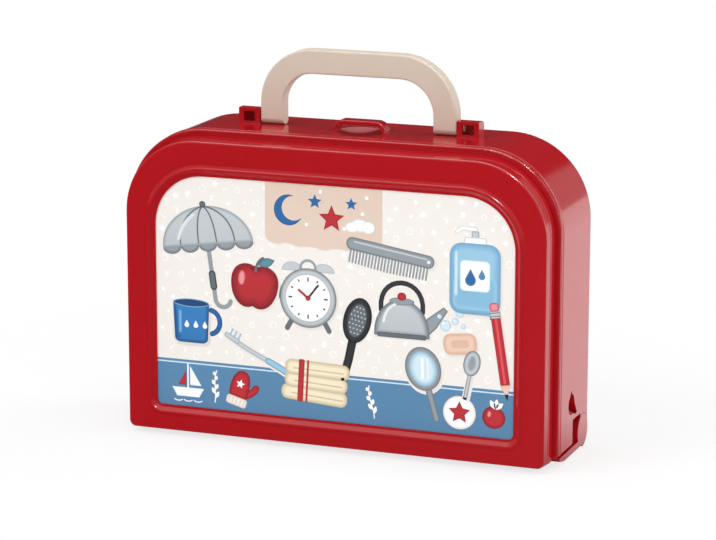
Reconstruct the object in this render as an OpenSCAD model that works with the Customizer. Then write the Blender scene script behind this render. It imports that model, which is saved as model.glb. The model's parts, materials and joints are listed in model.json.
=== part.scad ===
// Toy doctor case: an arched red case with a book-like spine, a carrying handle, a finger
// latch and a printed card in its lid, holding a set of play instruments.
// X runs across the case, +Y from the lid to the back and +Z up. The origin is at the
// middle of the base. Lengths are in millimetres. Depths are measured from the lid's face.

/* [Lid] */
// Width of the lid
lid_w = 303; // [280:1:340]
// Height of the lid
lid_h = 206.5; // [195:0.5:240]
// Depth of the lid, from its face to its rear edge
lid_d = 16; // [12:0.5:19]
// Radius of the lid's top corners
lid_top_r = 52.5; // [46:0.5:64]
// Radius of the lid's bottom corners
lid_bottom_r = 6; // [5.5:0.5:9]
// Radius of the lid's front edge
lid_edge_r = 1.5; // [1:0.25:2]
// How far the lid's side leans in towards the face
lid_draft = 1.3; // [0.8:0.1:1.6]
// Height of the lid's lower edge above the base
lid_lift = 2.5; // [1.5:0.25:3]
// Distance of the fine line around the lid's side behind its face
line_back = 7.7; // [6:0.1:9]
// Width of the fine line around the lid's side
line_w = 0.5; // [0.3:0.1:0.8]
// Depth of the fine line around the lid's side
line_deep = 0.3; // [0.2:0.05:0.5]
// Radius of the lid's rear edge
lid_rear_r = 0.8; // [0.4:0.1:1.2]

/* [Back shell] */
// Depth of the closed case, from the lid's face to the back
case_d = 88; // [80:1:100]
// How far the shell stands out past the lid's sides
shell_over = 3.5; // [1.5:0.25:4.5]
// How far the shell stands up past the lid's top
shell_over_top = 4.2; // [2:0.1:5]
// Wall of the case's mouldings
wall = 2.2; // [1.8:0.1:2.6]
// Gap between the case's pieces
gap = 0.3; // [0.2:0.05:0.5]
// Radius of the shell's rear edge
shell_edge_r = 3.5; // [2.5:0.25:5]
// Height of the shell's underside above the base
floor_up = 7; // [6:0.25:8]
// Radius of the shell's lower side corners
shell_bottom_r = 2.6; // [2.6:0.1:3]
// How far the ridge behind the shell's rim stands out
ridge_h = 0.4; // [0.3:0.1:0.8]
// Radius of the ridge's crest
ridge_r = 3; // [1.5:0.25:4]
// Radius of the outer edge of the shell's rim
shell_rim_r = 1.2; // [0.6:0.1:1.6]
// Distance of the ridge behind the shell's rim
ridge_back = 6.6; // [5:0.2:8]
// Width of the groove behind the shell's rim
groove_w = 1; // [0.5:0.1:1.2]
// Depth of the groove behind the shell's rim
groove_deep = 0.7; // [0.4:0.1:1]
// Distance of the groove behind the shell's rim
groove_back = 1.8; // [1.6:0.2:3.4]
// Border around the sunk field on the back
field_border = 20; // [14:1:30]
// Depth of the sunk field on the back
field_deep = 0.6; // [0.3:0.1:0.9]

/* [Card] */
// Width of the card that shows
card_w = 257.5; // [230:0.5:262]
// Height of the card that shows
card_h = 162; // [140:1:165]
// Height of the card's lower edge above the lid's lower edge
card_up = 19.25; // [15:0.25:22]
// Radius of the card's top corners
card_top_r = 35.5; // [24:0.5:40]
// Radius of the card's bottom corners
card_bottom_r = 4; // [3:0.5:8]
// Thickness of the card
card_t = 0.8; // [0.4:0.1:1.2]
// How far the card reaches under the retaining tabs
card_lap = 2; // [1.4:0.1:2.6]
// Depth of the tabs' front behind the lid's face
tab_sunk = 1; // [0.6:0.1:1.4]
// Thickness of the tabs
tab_t = 0.8; // [0.6:0.1:1]
// Width of the tabs, across the card's edge
tab_w = 1.7; // [1.2:0.1:2]
// Distance from one tab to the next
tab_pitch = 9.8; // [8:0.2:14]
// Gap between two tabs
tab_gap = 1; // [0.6:0.1:1.6]
// Depth of the gaps between the tabs
tab_notch = 0.4; // [0.2:0.1:0.5]
// Distance from the card's edge to the bead's crest
bead_crest = 5; // [4.4:0.1:5.4]
// Distance from the card's edge to the bead's outer foot
bead_foot = 8; // [7.4:0.1:9]
// How far the bead stands out from the lid's face
bead_h = 1.3; // [0.8:0.1:1.8]
// Radius of the bead's crest
bead_r = 1.6; // [1.3:0.1:1.8]

/* [Spine and hinges] */
// Height of the rear hinge's axis above the base, and radius of the shell's lower rear edge
rear_axis_up = 12; // [11.75:0.25:13]
// Distance of the rear hinge's axis in front of the back
rear_axis_in = 13.2; // [12.8:0.1:14]
// Radius of the spine's round ears
ear_r = 11.7; // [10:0.1:11.7]
// Thickness of the spine's ears
ear_t = 4.6; // [3.6:0.2:5.4]
// Radius of the pins on the spine's ears
ear_pin_r = 3; // [2.4:0.1:3.6]
// Height of the lid hinge's axis above the base
front_axis_up = 3.7; // [3.5:0.05:3.7]
// Depth of the lid hinge's axis behind the lid's rear edge
front_axis_back = 1.5; // [1.3:0.1:2]
// Radius of the lid hinge's knuckles
knuckle_r = 3; // [2.8:0.05:3]
// Radius of the lid hinge's pins
hinge_pin_r = 1.2; // [1:0.1:1.4]
// Length of each knuckle
knuckle_len = 14; // [10:1:18]
// Distance of each hinge's middle from the middle of the case
hinge_x = 95; // [80:1:105]
// Play of a pin in the bore that turns on it
pin_play = 0.05; // [0.03:0.01:0.08]
// Distance of the spine plate's rear edge in front of the rear hinge's axis
spine_short = 12; // [11.8:0.1:14]
// Distance from one rib of the spine to the next
rib_pitch = 50; // [36:1:64]
// Length of the slot in the shell's side, in front of an ear
slot_d = 12.5; // [8:0.5:14]
// Height of the slot's top above the rear hinge's axis
slot_up = 13.5; // [11:0.5:15]
// Radius of the drop-shaped hollow in the shell's side
drop_r = 7; // [5:0.25:8]
// Number of hollows under the shell's foot
foot_hollows = 9; // [5:2:13]
// Depth of the hollows under the shell's foot, from front to back
foot_hollow_d = 12; // [8:0.5:13]

/* [Handle] */
// Width of the handle over its legs
handle_w = 141.6; // [120:0.2:150]
// Height of the handle's top above the shell's top
handle_up = 53.3; // [50:0.1:70]
// Width of the handle's strap, seen from the front
strap_w = 16.7; // [13:0.1:18]
// Thickness of the handle's strap, from front to back
strap_t = 10.5; // [8:0.1:10.6]
// Radius of the strap's edges
strap_edge_r = 1.4; // [0.8:0.1:2]
// Outer radius of the handle's left shoulder
left_r = 37.7; // [28:0.1:40]
// Outer radius of the handle's right shoulder
right_r = 41; // [28:0.1:42]
// Radius of the handle's pivot pins
handle_pin_r = 2.5; // [2:0.1:3]
// Height of the handle's pivot above the shell's top
pivot_up = 5.8; // [5.8:0.1:6.6]
// Depth of the handle's pivot behind the lid's face
pivot_back = 55.1; // [52:0.1:58]
// Width of a lug
lug_w = 15.6; // [12.4:0.1:16]
// Depth of a lug, from front to back
lug_d = 11; // [10:0.5:14]
// Height of a lug above the shell's top
lug_h = 10.8; // [10.4:0.1:14]
// Gap between the handle's leg and the lug
lug_gap = 0.4; // [0.3:0.1:1.4]
// Width of the pocket in a lug
pocket_w = 8.4; // [7.6:0.1:9.5]
// Height of the pocket in a lug
pocket_h = 7; // [6.4:0.1:7.4]
// Height of the pocket's lower edge above the shell's top
pocket_up = 1.6; // [1.2:0.1:1.8]
// Radius of a lug's upper rear corner
lug_r = 4; // [2:0.5:5]
// Wall around a pivot pin's bore
boss_wall = 1.6; // [1.2:0.1:2]

/* [Latch] */
// Distance of the latch to the right of the middle of the case
latch_x = 3; // [0:0.5:6]
// Width of the latch
latch_w = 41; // [36:1:48]
// Depth of the latch's front edge behind the lid's face
latch_front = 25; // [24:0.5:31]
// Length of the latch, from front to back
latch_l = 41; // [41:0.5:46]
// Radius of the finger scoop's rim
scoop_r = 19; // [15:0.5:19]
// Depth of the finger scoop
scoop_deep = 4; // [3:0.25:5]
// Wall of the latch
latch_wall = 2; // [1.6:0.1:2.4]
// Height of the finger bar above the shell's top
bar_up = 7.5; // [7:0.1:9]
// Distance of the finger bar's middle behind the latch's front edge
bar_back = 25; // [22:0.5:28]
// How far the finger bar's ends lie inside the latch's sides
bar_in = 1.4; // [1:0.1:2]
// Thickness of the finger bar
bar_t = 3; // [2.4:0.1:3.2]
// Depth of the finger bar, from front to back
bar_d = 10; // [8:0.5:12]
// Radius of the latch's pivot pins
latch_pin_r = 1.2; // [1:0.1:1.3]
// Half width of the latch's hook and of the lid's catch
catch_half = 12; // [8:0.5:15]
// Distance of the catch's underside below the shell's top
catch_down = 9; // [8:0.25:10]
// Thickness of the catch and of the latch's nose
catch_t = 2; // [1.6:0.1:2.4]
// How far the latch's nose reaches in front of the latch
nose_l = 3; // [2:0.25:4]

/* [Jar and phone] */
// Radius of the jar
jar_r = 27; // [22:0.5:28]
// Height of the jar's body, up to its neck
jar_h = 56; // [44:1:70]
// Radius of the jar's neck
neck_r = 19; // [15:0.5:19.5]
// Height of the jar's neck
neck_h = 12; // [10:0.5:16]
// Wall of the jar
jar_wall = 1.8; // [1.4:0.1:2.4]
// Radius of the jar's cap
cap_r = 22; // [21.5:0.25:24]
// Height of the label on the jar
label_h = 28; // [20:1:36]
// Height of the label's lower edge above the jar's foot
label_up = 10; // [7:0.5:13]
// Radius of the jar's round foot
jar_foot_r = 4; // [3:0.5:6]
// Radius of the jar's shoulder
jar_shoulder_r = 10; // [7:0.5:12]
// Radius of the grip ribs on the jar's cap
cap_rib_r = 0.8; // [0.5:0.1:1.2]
// Width of the phone
phone_w = 52; // [44:1:54]
// Height of the phone
phone_h = 112; // [100:1:124]
// Thickness of the phone
phone_t = 9.5; // [8:0.25:10.5]
// Border around the phone's screen
phone_border = 4; // [3:0.25:6]
// Radius of the phone's corners
phone_r = 6; // [3:0.5:8]
// Depth of the recess for the screen
screen_deep = 1.8; // [1.2:0.1:2.4]
// Thickness of the screen
screen_t = 0.7; // [0.5:0.1:1]
// Width of the raised tiles on the screen
tile_w = 10.2; // [7:0.2:11.4]
// Height of the raised tiles on the screen
tile_t = 0.5; // [0.3:0.1:0.8]
// Distance from one column of tiles to the next
tile_pitch = 14.6; // [12:0.2:15]
// Height of the call tiles above the phone's foot
call_up = 19; // [15:0.5:22]
// Height of the lowest row of white tiles above the phone's foot
tiles_up = 39; // [36:0.5:44]

/* [Scissors] */
// Length of the blades, from pivot to tip
blade_l = 62; // [50:1:72]
// Width of a blade at the pivot
blade_w = 13; // [10:0.5:15]
// Thickness of each half of the scissors
blade_t = 3.6; // [3:0.1:4]
// Inner radius of the finger loops
loop_r = 9.5; // [8:0.25:10]
// Width of the finger loops' rims
loop_rim = 4.6; // [3.8:0.2:5]
// Distance of the loops' centres below the pivot
loop_down = 40; // [34:1:46]
// Distance from one finger loop to the other
loop_apart = 1.2; // [0.8:0.1:3]
// Radius of the scissors' pivot
rivet_r = 2.5; // [2:0.1:3]
// Thickness of the pivot's head
rivet_t = 1.2; // [0.8:0.1:1.6]

/* [Hammer, otoscope and thermometer] */
// Length of the hammer's head
hammer_l = 54; // [44:1:56]
// Radius of the hammer's head
hammer_r = 9.5; // [8:0.25:10]
// Height of the hammer's handle
hammer_h = 112; // [96:1:124]
// Radius of the hammer's handle
hammer_grip_r = 6.5; // [5.5:0.25:7.5]
// Length of the hammer's grip
hammer_grip_h = 50; // [36:1:60]
// Radius of the hammer's shaft above its grip
shaft_r = 4; // [3:0.25:5]
// Radius of the head between its two ends
hammer_mid_r = 6.5; // [5:0.25:7.5]
// Length of the two ends of the hammer's head
hammer_end_l = 12; // [8:0.5:15]
// Radius of the rings on the hammer's grip
ring_r = 0.8; // [0.5:0.1:1.2]
// Distance from one ring of the grip to the next
ring_pitch = 7; // [5:0.5:9]
// Radius of the otoscope's grip
otoscope_r = 10; // [8:0.25:11]
// Length of the otoscope's grip
otoscope_grip_h = 74; // [64:1:84]
// Radius of the otoscope's neck
otoscope_neck_r = 5; // [4:0.25:6]
// Length of the otoscope's neck
otoscope_neck_h = 14; // [10:0.5:18]
// Radius of the otoscope's head
otoscope_head_r = 13; // [11:0.25:13.5]
// Thickness of the otoscope's head
otoscope_head_t = 14; // [10:0.5:18]
// Wall around the hollow in the otoscope's head
otoscope_wall = 3; // [2:0.25:4]
// Length of the otoscope's cone
cone_l = 20; // [16:0.5:24]
// Radius of the cone's tip
cone_tip_r = 3.2; // [2.8:0.1:4]
// Radius of the bore in the cone's tip
cone_bore_r = 1.8; // [1.2:0.1:2.2]
// Width of the thermometer
thermometer_w = 20; // [17:0.5:22]
// Height of the thermometer
thermometer_h = 106; // [90:1:116]
// Thickness of the thermometer
thermometer_t = 6.5; // [5:0.25:7.5]
// Radius of the thermometer's tip
thermometer_tip_r = 3; // [2:0.25:4]
// Height at which the thermometer has its full width
thermometer_taper_h = 34; // [26:1:40]
// Height of the window in the thermometer
window_h = 59; // [44:1:60]
// Width of the window in the thermometer
window_w = 12; // [9:0.5:13]

/* [Syringe, glasses and plasters] */
// Outer radius of the syringe's barrel
barrel_r = 10.5; // [9:0.25:11]
// Wall of the syringe's barrel
barrel_wall = 1.4; // [1:0.1:1.8]
// Length of the syringe's barrel
barrel_h = 80; // [70:1:90]
// Length of the syringe's nozzle
nozzle_h = 15; // [12:0.5:18]
// Travel of the plunger
plunger_travel = 46; // [36:1:52]
// Radius of the plunger's thumb plate
thumb_r = 13; // [11:0.5:14]
// Thickness of the plunger's thumb plate
thumb_t = 3; // [2:0.25:4]
// Thickness of the barrel's finger flange
flange_t = 2.4; // [1.8:0.2:3]
// Inner radius of the glasses' rims
rim_r = 13.5; // [12:0.25:14.5]
// Width of the glasses' rims
rim_w = 3.5; // [3:0.25:4]
// Thickness of the glasses' frame
frame_t = 4; // [3.2:0.2:4.6]
// Distance of the rims' centres from the middle of the glasses
eye_x = 27; // [24:0.5:29]
// Width of the glasses, over the temples' hinges
glasses_w = 110; // [102:1:116]
// Length of the glasses' temples
temple_l = 94; // [80:1:98]
// Thickness of the temples
temple_t = 3.4; // [3:0.1:3.6]
// Radius of the temples' hinge pins
temple_pin_r = 0.9; // [0.7:0.05:1.1]
// Thickness of the ears that hold the temples' pins
temple_ear_t = 0.8; // [0.6:0.1:0.9]
// Width of a plaster
plaster_w = 18; // [14:0.5:20]
// Length of a plaster
plaster_l = 60; // [50:1:66]
// Thickness of a plaster
plaster_t = 0.9; // [0.6:0.1:1.2]
// Number of plasters in the stack
plaster_count = 4; // [2:1:5]
// Gap between two plasters
plaster_gap = 0.1; // [0.05:0.05:0.2]

/* [Hidden] */
$fn = 64;

// Depth of the middle of the whole case, which is put at Y = 0
mid_d = (case_d - bead_h) / 2;
// Rear edge of the lid's rim, and front of the shell's rim behind it
shell_front = lid_d + gap;
// Outline of the shell
shell_w = lid_w + 2 * shell_over;
shell_top = lid_lift + lid_h + shell_over_top;
shell_top_r = lid_top_r + shell_over;
// How far the front frame's rim reaches in from the lid's outline
rim_in = 5;
// How far plates run into the mouldings beside them
merge = 0.7;
// How far the lip behind the lid's rear edge reaches in from the shell's outline
lip_in = shell_over + wall;
// Depths of the card's seat, of the card and of the floor behind it
card_play = 0.1;
card_face = tab_sunk + tab_t + card_play;
seat_floor = card_face + card_t + card_play;
// Height of the handle's pivot above the base
pivot_z = shell_top + pivot_up;
// Axis of the rear hinge and of the lid's hinge, as depth and height
rear_axis_d = case_d - rear_axis_in;
front_axis_d = lid_d + front_axis_back;
// Top of the spine's lips and ribs, clear of the ridge under the shell
spine_h = floor_up - ridge_h - gap;
spine_front = front_axis_d + knuckle_r + 1;
spine_rear = rear_axis_d - spine_short;
// Inner face of the spine's ears, and of the recess in the shell that takes them
ear_in = shell_w / 2 - ear_t;
recess_in = ear_in - gap - 0.2;
// Solid ends of the spine with a chamfer under them: their width, and the chamfer's heights
// at the front and behind, and its length
end_in = 14;
end_up = [4.2, 1.8];
end_l = 10;
// Rear end of the spine's arms, which stay below the shell when the case opens
arm_rear = rear_axis_d - (rear_axis_up - floor_up) - gap;
// Middle of the drop-shaped hollow from the rear hinge's axis, as depth and height, and
// the direction and length of its two tails
drop_at = [-27.8, 25];
drop_tails = [[97, 9.5], [-35, 16]];
// Corner radius of the sunk field on the back
field_r = 8;
// Inner face of a lug, and the walls beside its pocket
lug_in = handle_w / 2 + lug_gap;
lug_side = (lug_w - pocket_w) / 2;
// How far a pin of the handle shows in its pocket
pin_tip = 0.4;
// Axis of the latch, and the bosses under the shell's top that carry its pins
latch_axis_d = latch_front + latch_wall;
latch_axis_z = shell_top - latch_wall;
latch_boss_r = latch_pin_r + boss_wall;
latch_boss_l = 4;
// Depth that the latch's moulding may reach down into the case
latch_down = 12;
// Margin of the finger scoop and of the finger bar at the latch's edges
latch_margin = 1.5;
// Underside of the catch, how far it reaches back to the latch's nose, and its root
catch_z = shell_top - catch_down;
catch_reach = latch_front - nose_l - gap;
catch_root = 5;
// Height of the instruments' feet, on the case's floor
seat_z = floor_up + wall + gap;
// Places of the instruments, worked inwards from the side walls and from the back
side_room = recess_in - wall - 1;
back_seat = case_d - wall - gap;
toy_gap = 2;
jar_x = -side_room + jar_r;
loop_x = loop_r + loop_rim + loop_apart / 2;
scissors_x = jar_x + jar_r + loop_x + loop_r + loop_rim + 2 * toy_gap;
pivot_h = loop_down + loop_r + loop_rim;
hammer_x = side_room - hammer_l / 2;
otoscope_x = hammer_x - hammer_l / 2 - toy_gap - otoscope_head_r;
otoscope_axis_z = otoscope_grip_h + otoscope_neck_h + otoscope_head_r;
phone_x = otoscope_x - otoscope_head_r - toy_gap - phone_w / 2;
phone_front = back_seat - phone_t - tile_t;
screen_w = phone_w - 2 * phone_border;
screen_h = phone_h - 2 * phone_border;
thermometer_x = phone_x - phone_w / 2 + thermometer_w / 2 + 1;
thermometer_d = phone_front - gap - thermometer_t;
window_up = thermometer_h - window_h / 2 - 12;
plasters_x = thermometer_x + (thermometer_w + plaster_w) / 2 + 2 * toy_gap;
syringe_d = back_seat - 2 * hammer_r - 2 * gap - thumb_r;
bore_r = barrel_r - barrel_wall;
glasses_d = shell_front + 3;
// Axes of the two temples' hinges: the left one lies nearer the lid
temple_x = glasses_w / 2 - 2.2;
temple_row = [temple_t / 2 + temple_ear_t - 0.2, 1.5 * temple_t + 1.5 * temple_ear_t];
temple_axis_z = frame_t + temple_t / 2 + gap;
// Depth of the glasses' cheeks, and length of a temple's hooked end
cheek_d = 14;
temple_hook = 16;
// Play between a piece let into a recess and the recess
inlay_play = 0.1;
// Colours
red = "#b5202a";
beige = "#d3bfae";
cream = "#f2ece4";
steel = "#b8bcc0";
grey = "#8f999e";
blue = "#1f6fb5";

// Puts flat work upright: x stays, y becomes height and z becomes depth
module stand() translate([0, -mid_d, 0]) mirror([0, 1, 0]) rotate([90, 0, 0]) children();

// Puts work drawn as x, depth and height into the case's frame
module placed() translate([0, -mid_d, 0]) children();

// An arched outline that stands on y = 0
module arch(w, h, top_r, bottom_r) {
    for (side = [-1, 1]) {
        translate([side * (w / 2 - top_r), h - top_r]) circle(top_r, $fn = 96);
        translate([side * (w / 2 - bottom_r), bottom_r]) circle(bottom_r, $fn = 48);
    }
    translate([-w / 2, bottom_r]) square([w, h - top_r - bottom_r]);
    translate([-w / 2 + top_r, bottom_r]) square([w - 2 * top_r, h - bottom_r]);
    translate([-w / 2 + bottom_r, 0]) square([w - 2 * bottom_r, h - top_r]);
}

// The same outline moved inwards
module arch_in(w, h, top_r, bottom_r, inset)
    translate([0, inset])
        arch(w - 2 * inset, h - 2 * inset, top_r - inset, bottom_r - inset);

// One straight stretch of a profile: it starts at a point and is turned to its direction
module stretch(at, turn, length)
    translate(at) rotate([0, 0, turn]) rotate([90, 0, 0]) linear_extrude(length) children();

// One quarter turn of a profile around a corner
module corner(at, turn, r)
    translate(at) rotate([0, 0, turn])
        rotate_extrude(angle = 90, $fn = 96) translate([r, 0]) children();

// Sweeps a profile around an arched outline: its x is outwards and its y is depth
module around(w, h, top_r, bottom_r) {
    x_top = w / 2 - top_r;
    x_bottom = w / 2 - bottom_r;
    y_top = h - top_r;
    corner([x_top, y_top], 0, top_r) children();
    corner([-x_top, y_top], 90, top_r) children();
    corner([-x_bottom, bottom_r], 180, bottom_r) children();
    corner([x_bottom, bottom_r], 270, bottom_r) children();
    stretch([w / 2, y_top], 0, y_top - bottom_r) children();
    stretch([-x_top, h], 90, 2 * x_top) children();
    stretch([-w / 2, bottom_r], 180, y_top - bottom_r) children();
    stretch([x_bottom, 0], 270, 2 * x_bottom) children();
}

// A rectangle with round corners about the origin
module soft_rect(a, b, r) {
    square([a - 2 * r, b], center = true);
    square([a, b - 2 * r], center = true);
    for (x = [-1, 1], y = [-1, 1]) translate([x * (a / 2 - r), y * (b / 2 - r)]) circle(r, $fn = 32);
}

// A round bar along X from one x to another
module bar(r, x0, x1) translate([x0, 0, 0]) rotate([0, 90, 0]) cylinder(r = r, h = x1 - x0);

// Rim of the lid: its side leans in towards the face and has a fine line around it
module lid_profile() {
    line_in = lid_draft * (lid_d - line_back) / (lid_d - lid_edge_r) + line_deep;
    difference() {
        polygon([
            [-rim_in, 0], [-lid_draft, 0], [-lid_draft, lid_edge_r], [0, lid_d], [-wall, lid_d],
            [-wall - lid_draft, wall], [-rim_in, wall]
        ]);
        translate([-lid_draft, 0]) edge_cut(0, lid_edge_r, 0);
        edge_cut(lid_d, lid_rear_r, 1);
        translate([-line_in, line_back - line_w / 2]) square([line_in + 1, line_w]);
    }
}

// Rounds the outer edge of a profile at a depth: what lies beyond a circle is cut away
module edge_cut(at, r, turn) translate([0, at]) mirror([0, turn]) difference() {
    translate([-r, -1]) square([r + 1, r + 1]);
    translate([-r, r]) circle(r);
}

// A rim that turns inwards at one end, with a round edge there: depth 0 is that end
module rim_profile(depth, edge_r, inwards) {
    inner_r = max(edge_r - wall, 0.3);
    difference() {
        translate([-inwards, 0]) square([inwards, depth]);
        // Hollow behind the rim, round where the outside is round
        translate([-inwards - 1, wall]) square([inwards + 1 - wall - inner_r, depth]);
        translate([-inwards - 1, wall + inner_r]) square([inwards + 1 - wall, depth]);
        translate([-wall - inner_r, wall + inner_r]) circle(inner_r);
        edge_cut(0, edge_r, 0);
    }
}

// Bead, inner slope and tab strip around the card: x is the distance from the card's edge
module bead_profile() {
    side = bead_r * 0.8;
    lean = bead_h - bead_r * 0.4;
    translate([bead_crest, bead_r - bead_h]) circle(bead_r);
    polygon([
        [bead_foot, 0], [bead_crest + side, -lean], [bead_crest - side, -lean],
        [tab_w, tab_sunk], [0, tab_sunk], [0, tab_sunk + tab_t],
        [card_lap + gap, tab_sunk + tab_t], [card_lap + gap, seat_floor + wall],
        [card_lap + gap + wall, seat_floor + wall], [card_lap + gap + wall, wall], [bead_foot, wall]
    ]);
}

// Gaps between the tabs along one straight edge of the card, in its middle stretch
module tab_gaps(length, y) {
    count = floor(length / tab_pitch);
    for (i = [0:count])
        translate([(i - count / 2) * tab_pitch - tab_gap / 2, y, tab_sunk - 0.5])
            cube([tab_gap, tab_w, tab_notch + 0.5]);
}

// Middles of some knuckles of the lid's hinges: offset 0 is the lid's knuckle, and offsets
// -1 and 1 are the spine's knuckles beside it
module at_knuckles(offsets)
    for (side = [-1, 1], k = offsets)
        translate([side * hinge_x + k * (knuckle_len + gap), front_axis_d, 0]) children();

module knuckle_row(offsets, r, extra)
    at_knuckles(offsets) translate([0, 0, front_axis_up])
        bar(r, -knuckle_len / 2 - extra, knuckle_len / 2 + extra);

module lid_front() {
    card_at = lid_lift + card_up;
    // Outer rim and flat frame
    translate([0, lid_lift]) {
        around(lid_w, lid_h, lid_top_r, lid_bottom_r) lid_profile();
        linear_extrude(wall) difference() {
            arch_in(lid_w, lid_h, lid_top_r, lid_bottom_r, rim_in - merge);
            translate([0, card_up])
                arch_in(card_w, card_h, card_top_r, card_bottom_r, merge - bead_foot);
        }
    }
    // Bead around the card, cut into tabs along the top and bottom edges
    translate([0, card_at]) difference() {
        around(card_w, card_h, card_top_r, card_bottom_r) bead_profile();
        tab_gaps(card_w - 2 * card_top_r, card_h);
        tab_gaps(card_w - 4 * card_bottom_r, -tab_w);
    }
    // Floor behind the card
    translate([0, card_at, seat_floor])
        linear_extrude(wall)
            arch_in(card_w, card_h, card_top_r, card_bottom_r, -card_lap - gap - wall / 2);
}

// The lid: rim, frame, bead, the seat of the card, hinge knuckles and the catch
module lid_shell() color(red) {
    difference() {
        union() {
            stand() lid_front();
            placed() knuckle_row([0], knuckle_r, 0);
            // Web that carries each of the lid's knuckles
            placed() at_knuckles([0])
                translate([-knuckle_len / 2, -front_axis_back - wall, lid_lift])
                    cube([knuckle_len, front_axis_back + wall, front_axis_up - lid_lift + knuckle_r]);
            placed() lid_catch();
        }
        placed() {
            knuckle_row([0], hinge_pin_r + pin_play, 1);
            // Room for the spine's knuckles in the lid's rim
            at_knuckles([-1, 1])
                translate([-knuckle_len / 2 - gap, -knuckle_r - gap, -1])
                    cube([knuckle_len + 2 * gap, knuckle_r + gap + 1, front_axis_up + knuckle_r + 1.5]);
        }
    }
}

// The catch under the lid's top, a shelf that three ribs carry
module lid_catch() translate([latch_x - catch_half, lid_d - catch_root, catch_z]) {
    cube([2 * catch_half, catch_reach - lid_d + catch_root, catch_t]);
    for (x = [0, catch_half - catch_t / 2, 2 * catch_half - catch_t])
        translate([x, 0, 0]) cube([catch_t, catch_root, lid_lift + lid_h - wall / 2 - catch_z]);
}

// The printed card behind the tabs
module print_card() color(cream)
    stand() translate([0, lid_lift + card_up, card_face])
        linear_extrude(card_t) arch_in(card_w, card_h, card_top_r, card_bottom_r, -card_lap);

// Wall profile of the shell: x is outwards from its outline and y is depth
module shell_profile() difference() {
    union() {
        translate([0, case_d]) mirror([0, 1])
            rim_profile(case_d - shell_front, shell_edge_r, wall);
        intersection() {
            translate([ridge_h - ridge_r, shell_front + ridge_back]) circle(ridge_r);
            translate([-wall, shell_front]) square([2 * wall, case_d - shell_front]);
        }
    }
    translate([-groove_deep, shell_front + groove_back]) square([groove_deep + 1, groove_w]);
    edge_cut(shell_front, shell_rim_r, 0);
}

module shell_body() {
    h = shell_top - floor_up;
    translate([0, floor_up]) {
        around(shell_w, h, shell_top_r, shell_bottom_r) shell_profile();
        translate([0, 0, case_d - wall])
            linear_extrude(wall) arch_in(shell_w, h, shell_top_r, shell_bottom_r, wall - merge);
        // Lip that closes the step between the lid and the shell, at the sides and the top
        translate([0, 0, shell_front]) linear_extrude(wall) difference() {
            arch_in(shell_w, h, shell_top_r, shell_bottom_r, wall - merge);
            translate([0, wall])
                arch(shell_w - 2 * lip_in, h - lip_in - wall, shell_top_r - lip_in, 1);
        }
    }
}

// Outline of the recess for a spine ear in the shell's side, as depth and height
module ear_recess(extra) {
    slot_top = rear_axis_up + slot_up;
    translate([rear_axis_d, rear_axis_up]) circle(ear_r + gap + extra);
    translate([rear_axis_d - ear_r - slot_d - extra, 0])
        square([slot_d + ear_r / 2 + extra, slot_top + extra]);
}

// A flat outline drawn as depth and height, made into a plate from x0 to x1
module side_plate(x0, x1)
    translate([x0, 0, 0]) rotate([90, 0, 90]) linear_extrude(x1 - x0) children();

// Outline of the drop-shaped hollow in the shell's side above the ear, with its two tails
module drop(extra) translate([rear_axis_d + drop_at[0], rear_axis_up + drop_at[1]]) {
    root = 0.85 * drop_r + extra;
    tip = 0.6 + extra;
    circle(drop_r + extra);
    for (tail = drop_tails) rotate(tail[0])
        polygon([[0, -root], [tail[1] + extra, -tip], [tail[1] + extra, tip], [0, root]]);
}

// One lug with a pocket that opens to the front
module lug() difference() {
    side_plate(lug_in, lug_in + lug_w) difference() {
        translate([pivot_back - lug_d / 2, shell_top - wall]) square([lug_d, lug_h + wall]);
        translate([pivot_back + lug_d / 2 - lug_r, shell_top + lug_h - lug_r]) difference() {
            square(lug_r + 1);
            circle(lug_r);
        }
    }
    translate([lug_in + lug_side, pivot_back - lug_d, shell_top + pocket_up])
        cube([pocket_w, 1.5 * lug_d - wall, pocket_h]);
    translate([lug_in, pivot_back, pivot_z]) bar(handle_pin_r + pin_play, -1, lug_side + 1);
}

module back_shell() color(red) placed() {
    difference() {
        union() {
            difference() {
                union() {
                    translate([0, mid_d, 0]) stand() shell_body();
                    foot();
                    // Inner blocks around the recesses in the sides
                    for (side = [0, 1]) mirror([side, 0, 0]) intersection() {
                        side_plate(recess_in - wall, shell_w / 2 - wall / 2) {
                            ear_recess(wall);
                            drop(wall);
                        }
                        translate([0, 0, floor_up]) cube([shell_w, case_d - 1, shell_top]);
                    }
                }
                // Recesses for the ears, with a slot in front of them, and the drops above
                for (side = [0, 1]) mirror([side, 0, 0]) side_plate(recess_in, shell_w / 2 + 2) {
                    ear_recess(0);
                    drop(0);
                }
                // Opening for the latch
                translate([latch_x - latch_w / 2 - gap, latch_front - gap, shell_top - wall - 1])
                    cube([latch_w + 2 * gap, latch_l + 2 * gap, wall + 2]);
                // Sunk field on the back
                translate([0, mid_d, 0]) stand() translate([0, floor_up, case_d - field_deep])
                    linear_extrude(1)
                        arch_in(shell_w, shell_top - floor_up, shell_top_r, field_border + field_r,
                            field_border);
                foot_pockets();
            }
            for (side = [0, 1]) mirror([side, 0, 0]) lug();
            // Latch bosses
            for (side = [0, 1]) translate([latch_x, 0, 0]) mirror([side, 0, 0])
                translate([latch_w / 2 + gap, latch_axis_d - latch_boss_r, latch_axis_z - latch_boss_r])
                    cube([latch_boss_l, 2 * latch_boss_r, latch_boss_r + latch_wall - wall / 2]);
        }
        for (side = [0, 1]) {
            translate([latch_x, latch_axis_d, latch_axis_z]) mirror([side, 0, 0])
                bar(latch_pin_r + pin_play, 0, latch_w / 2 + latch_boss_l - gap);
            mirror([side, 0, 0]) translate([0, rear_axis_d, rear_axis_up])
                bar(ear_pin_r + pin_play, recess_in - wall, recess_in + 1);
        }
    }
}

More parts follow.
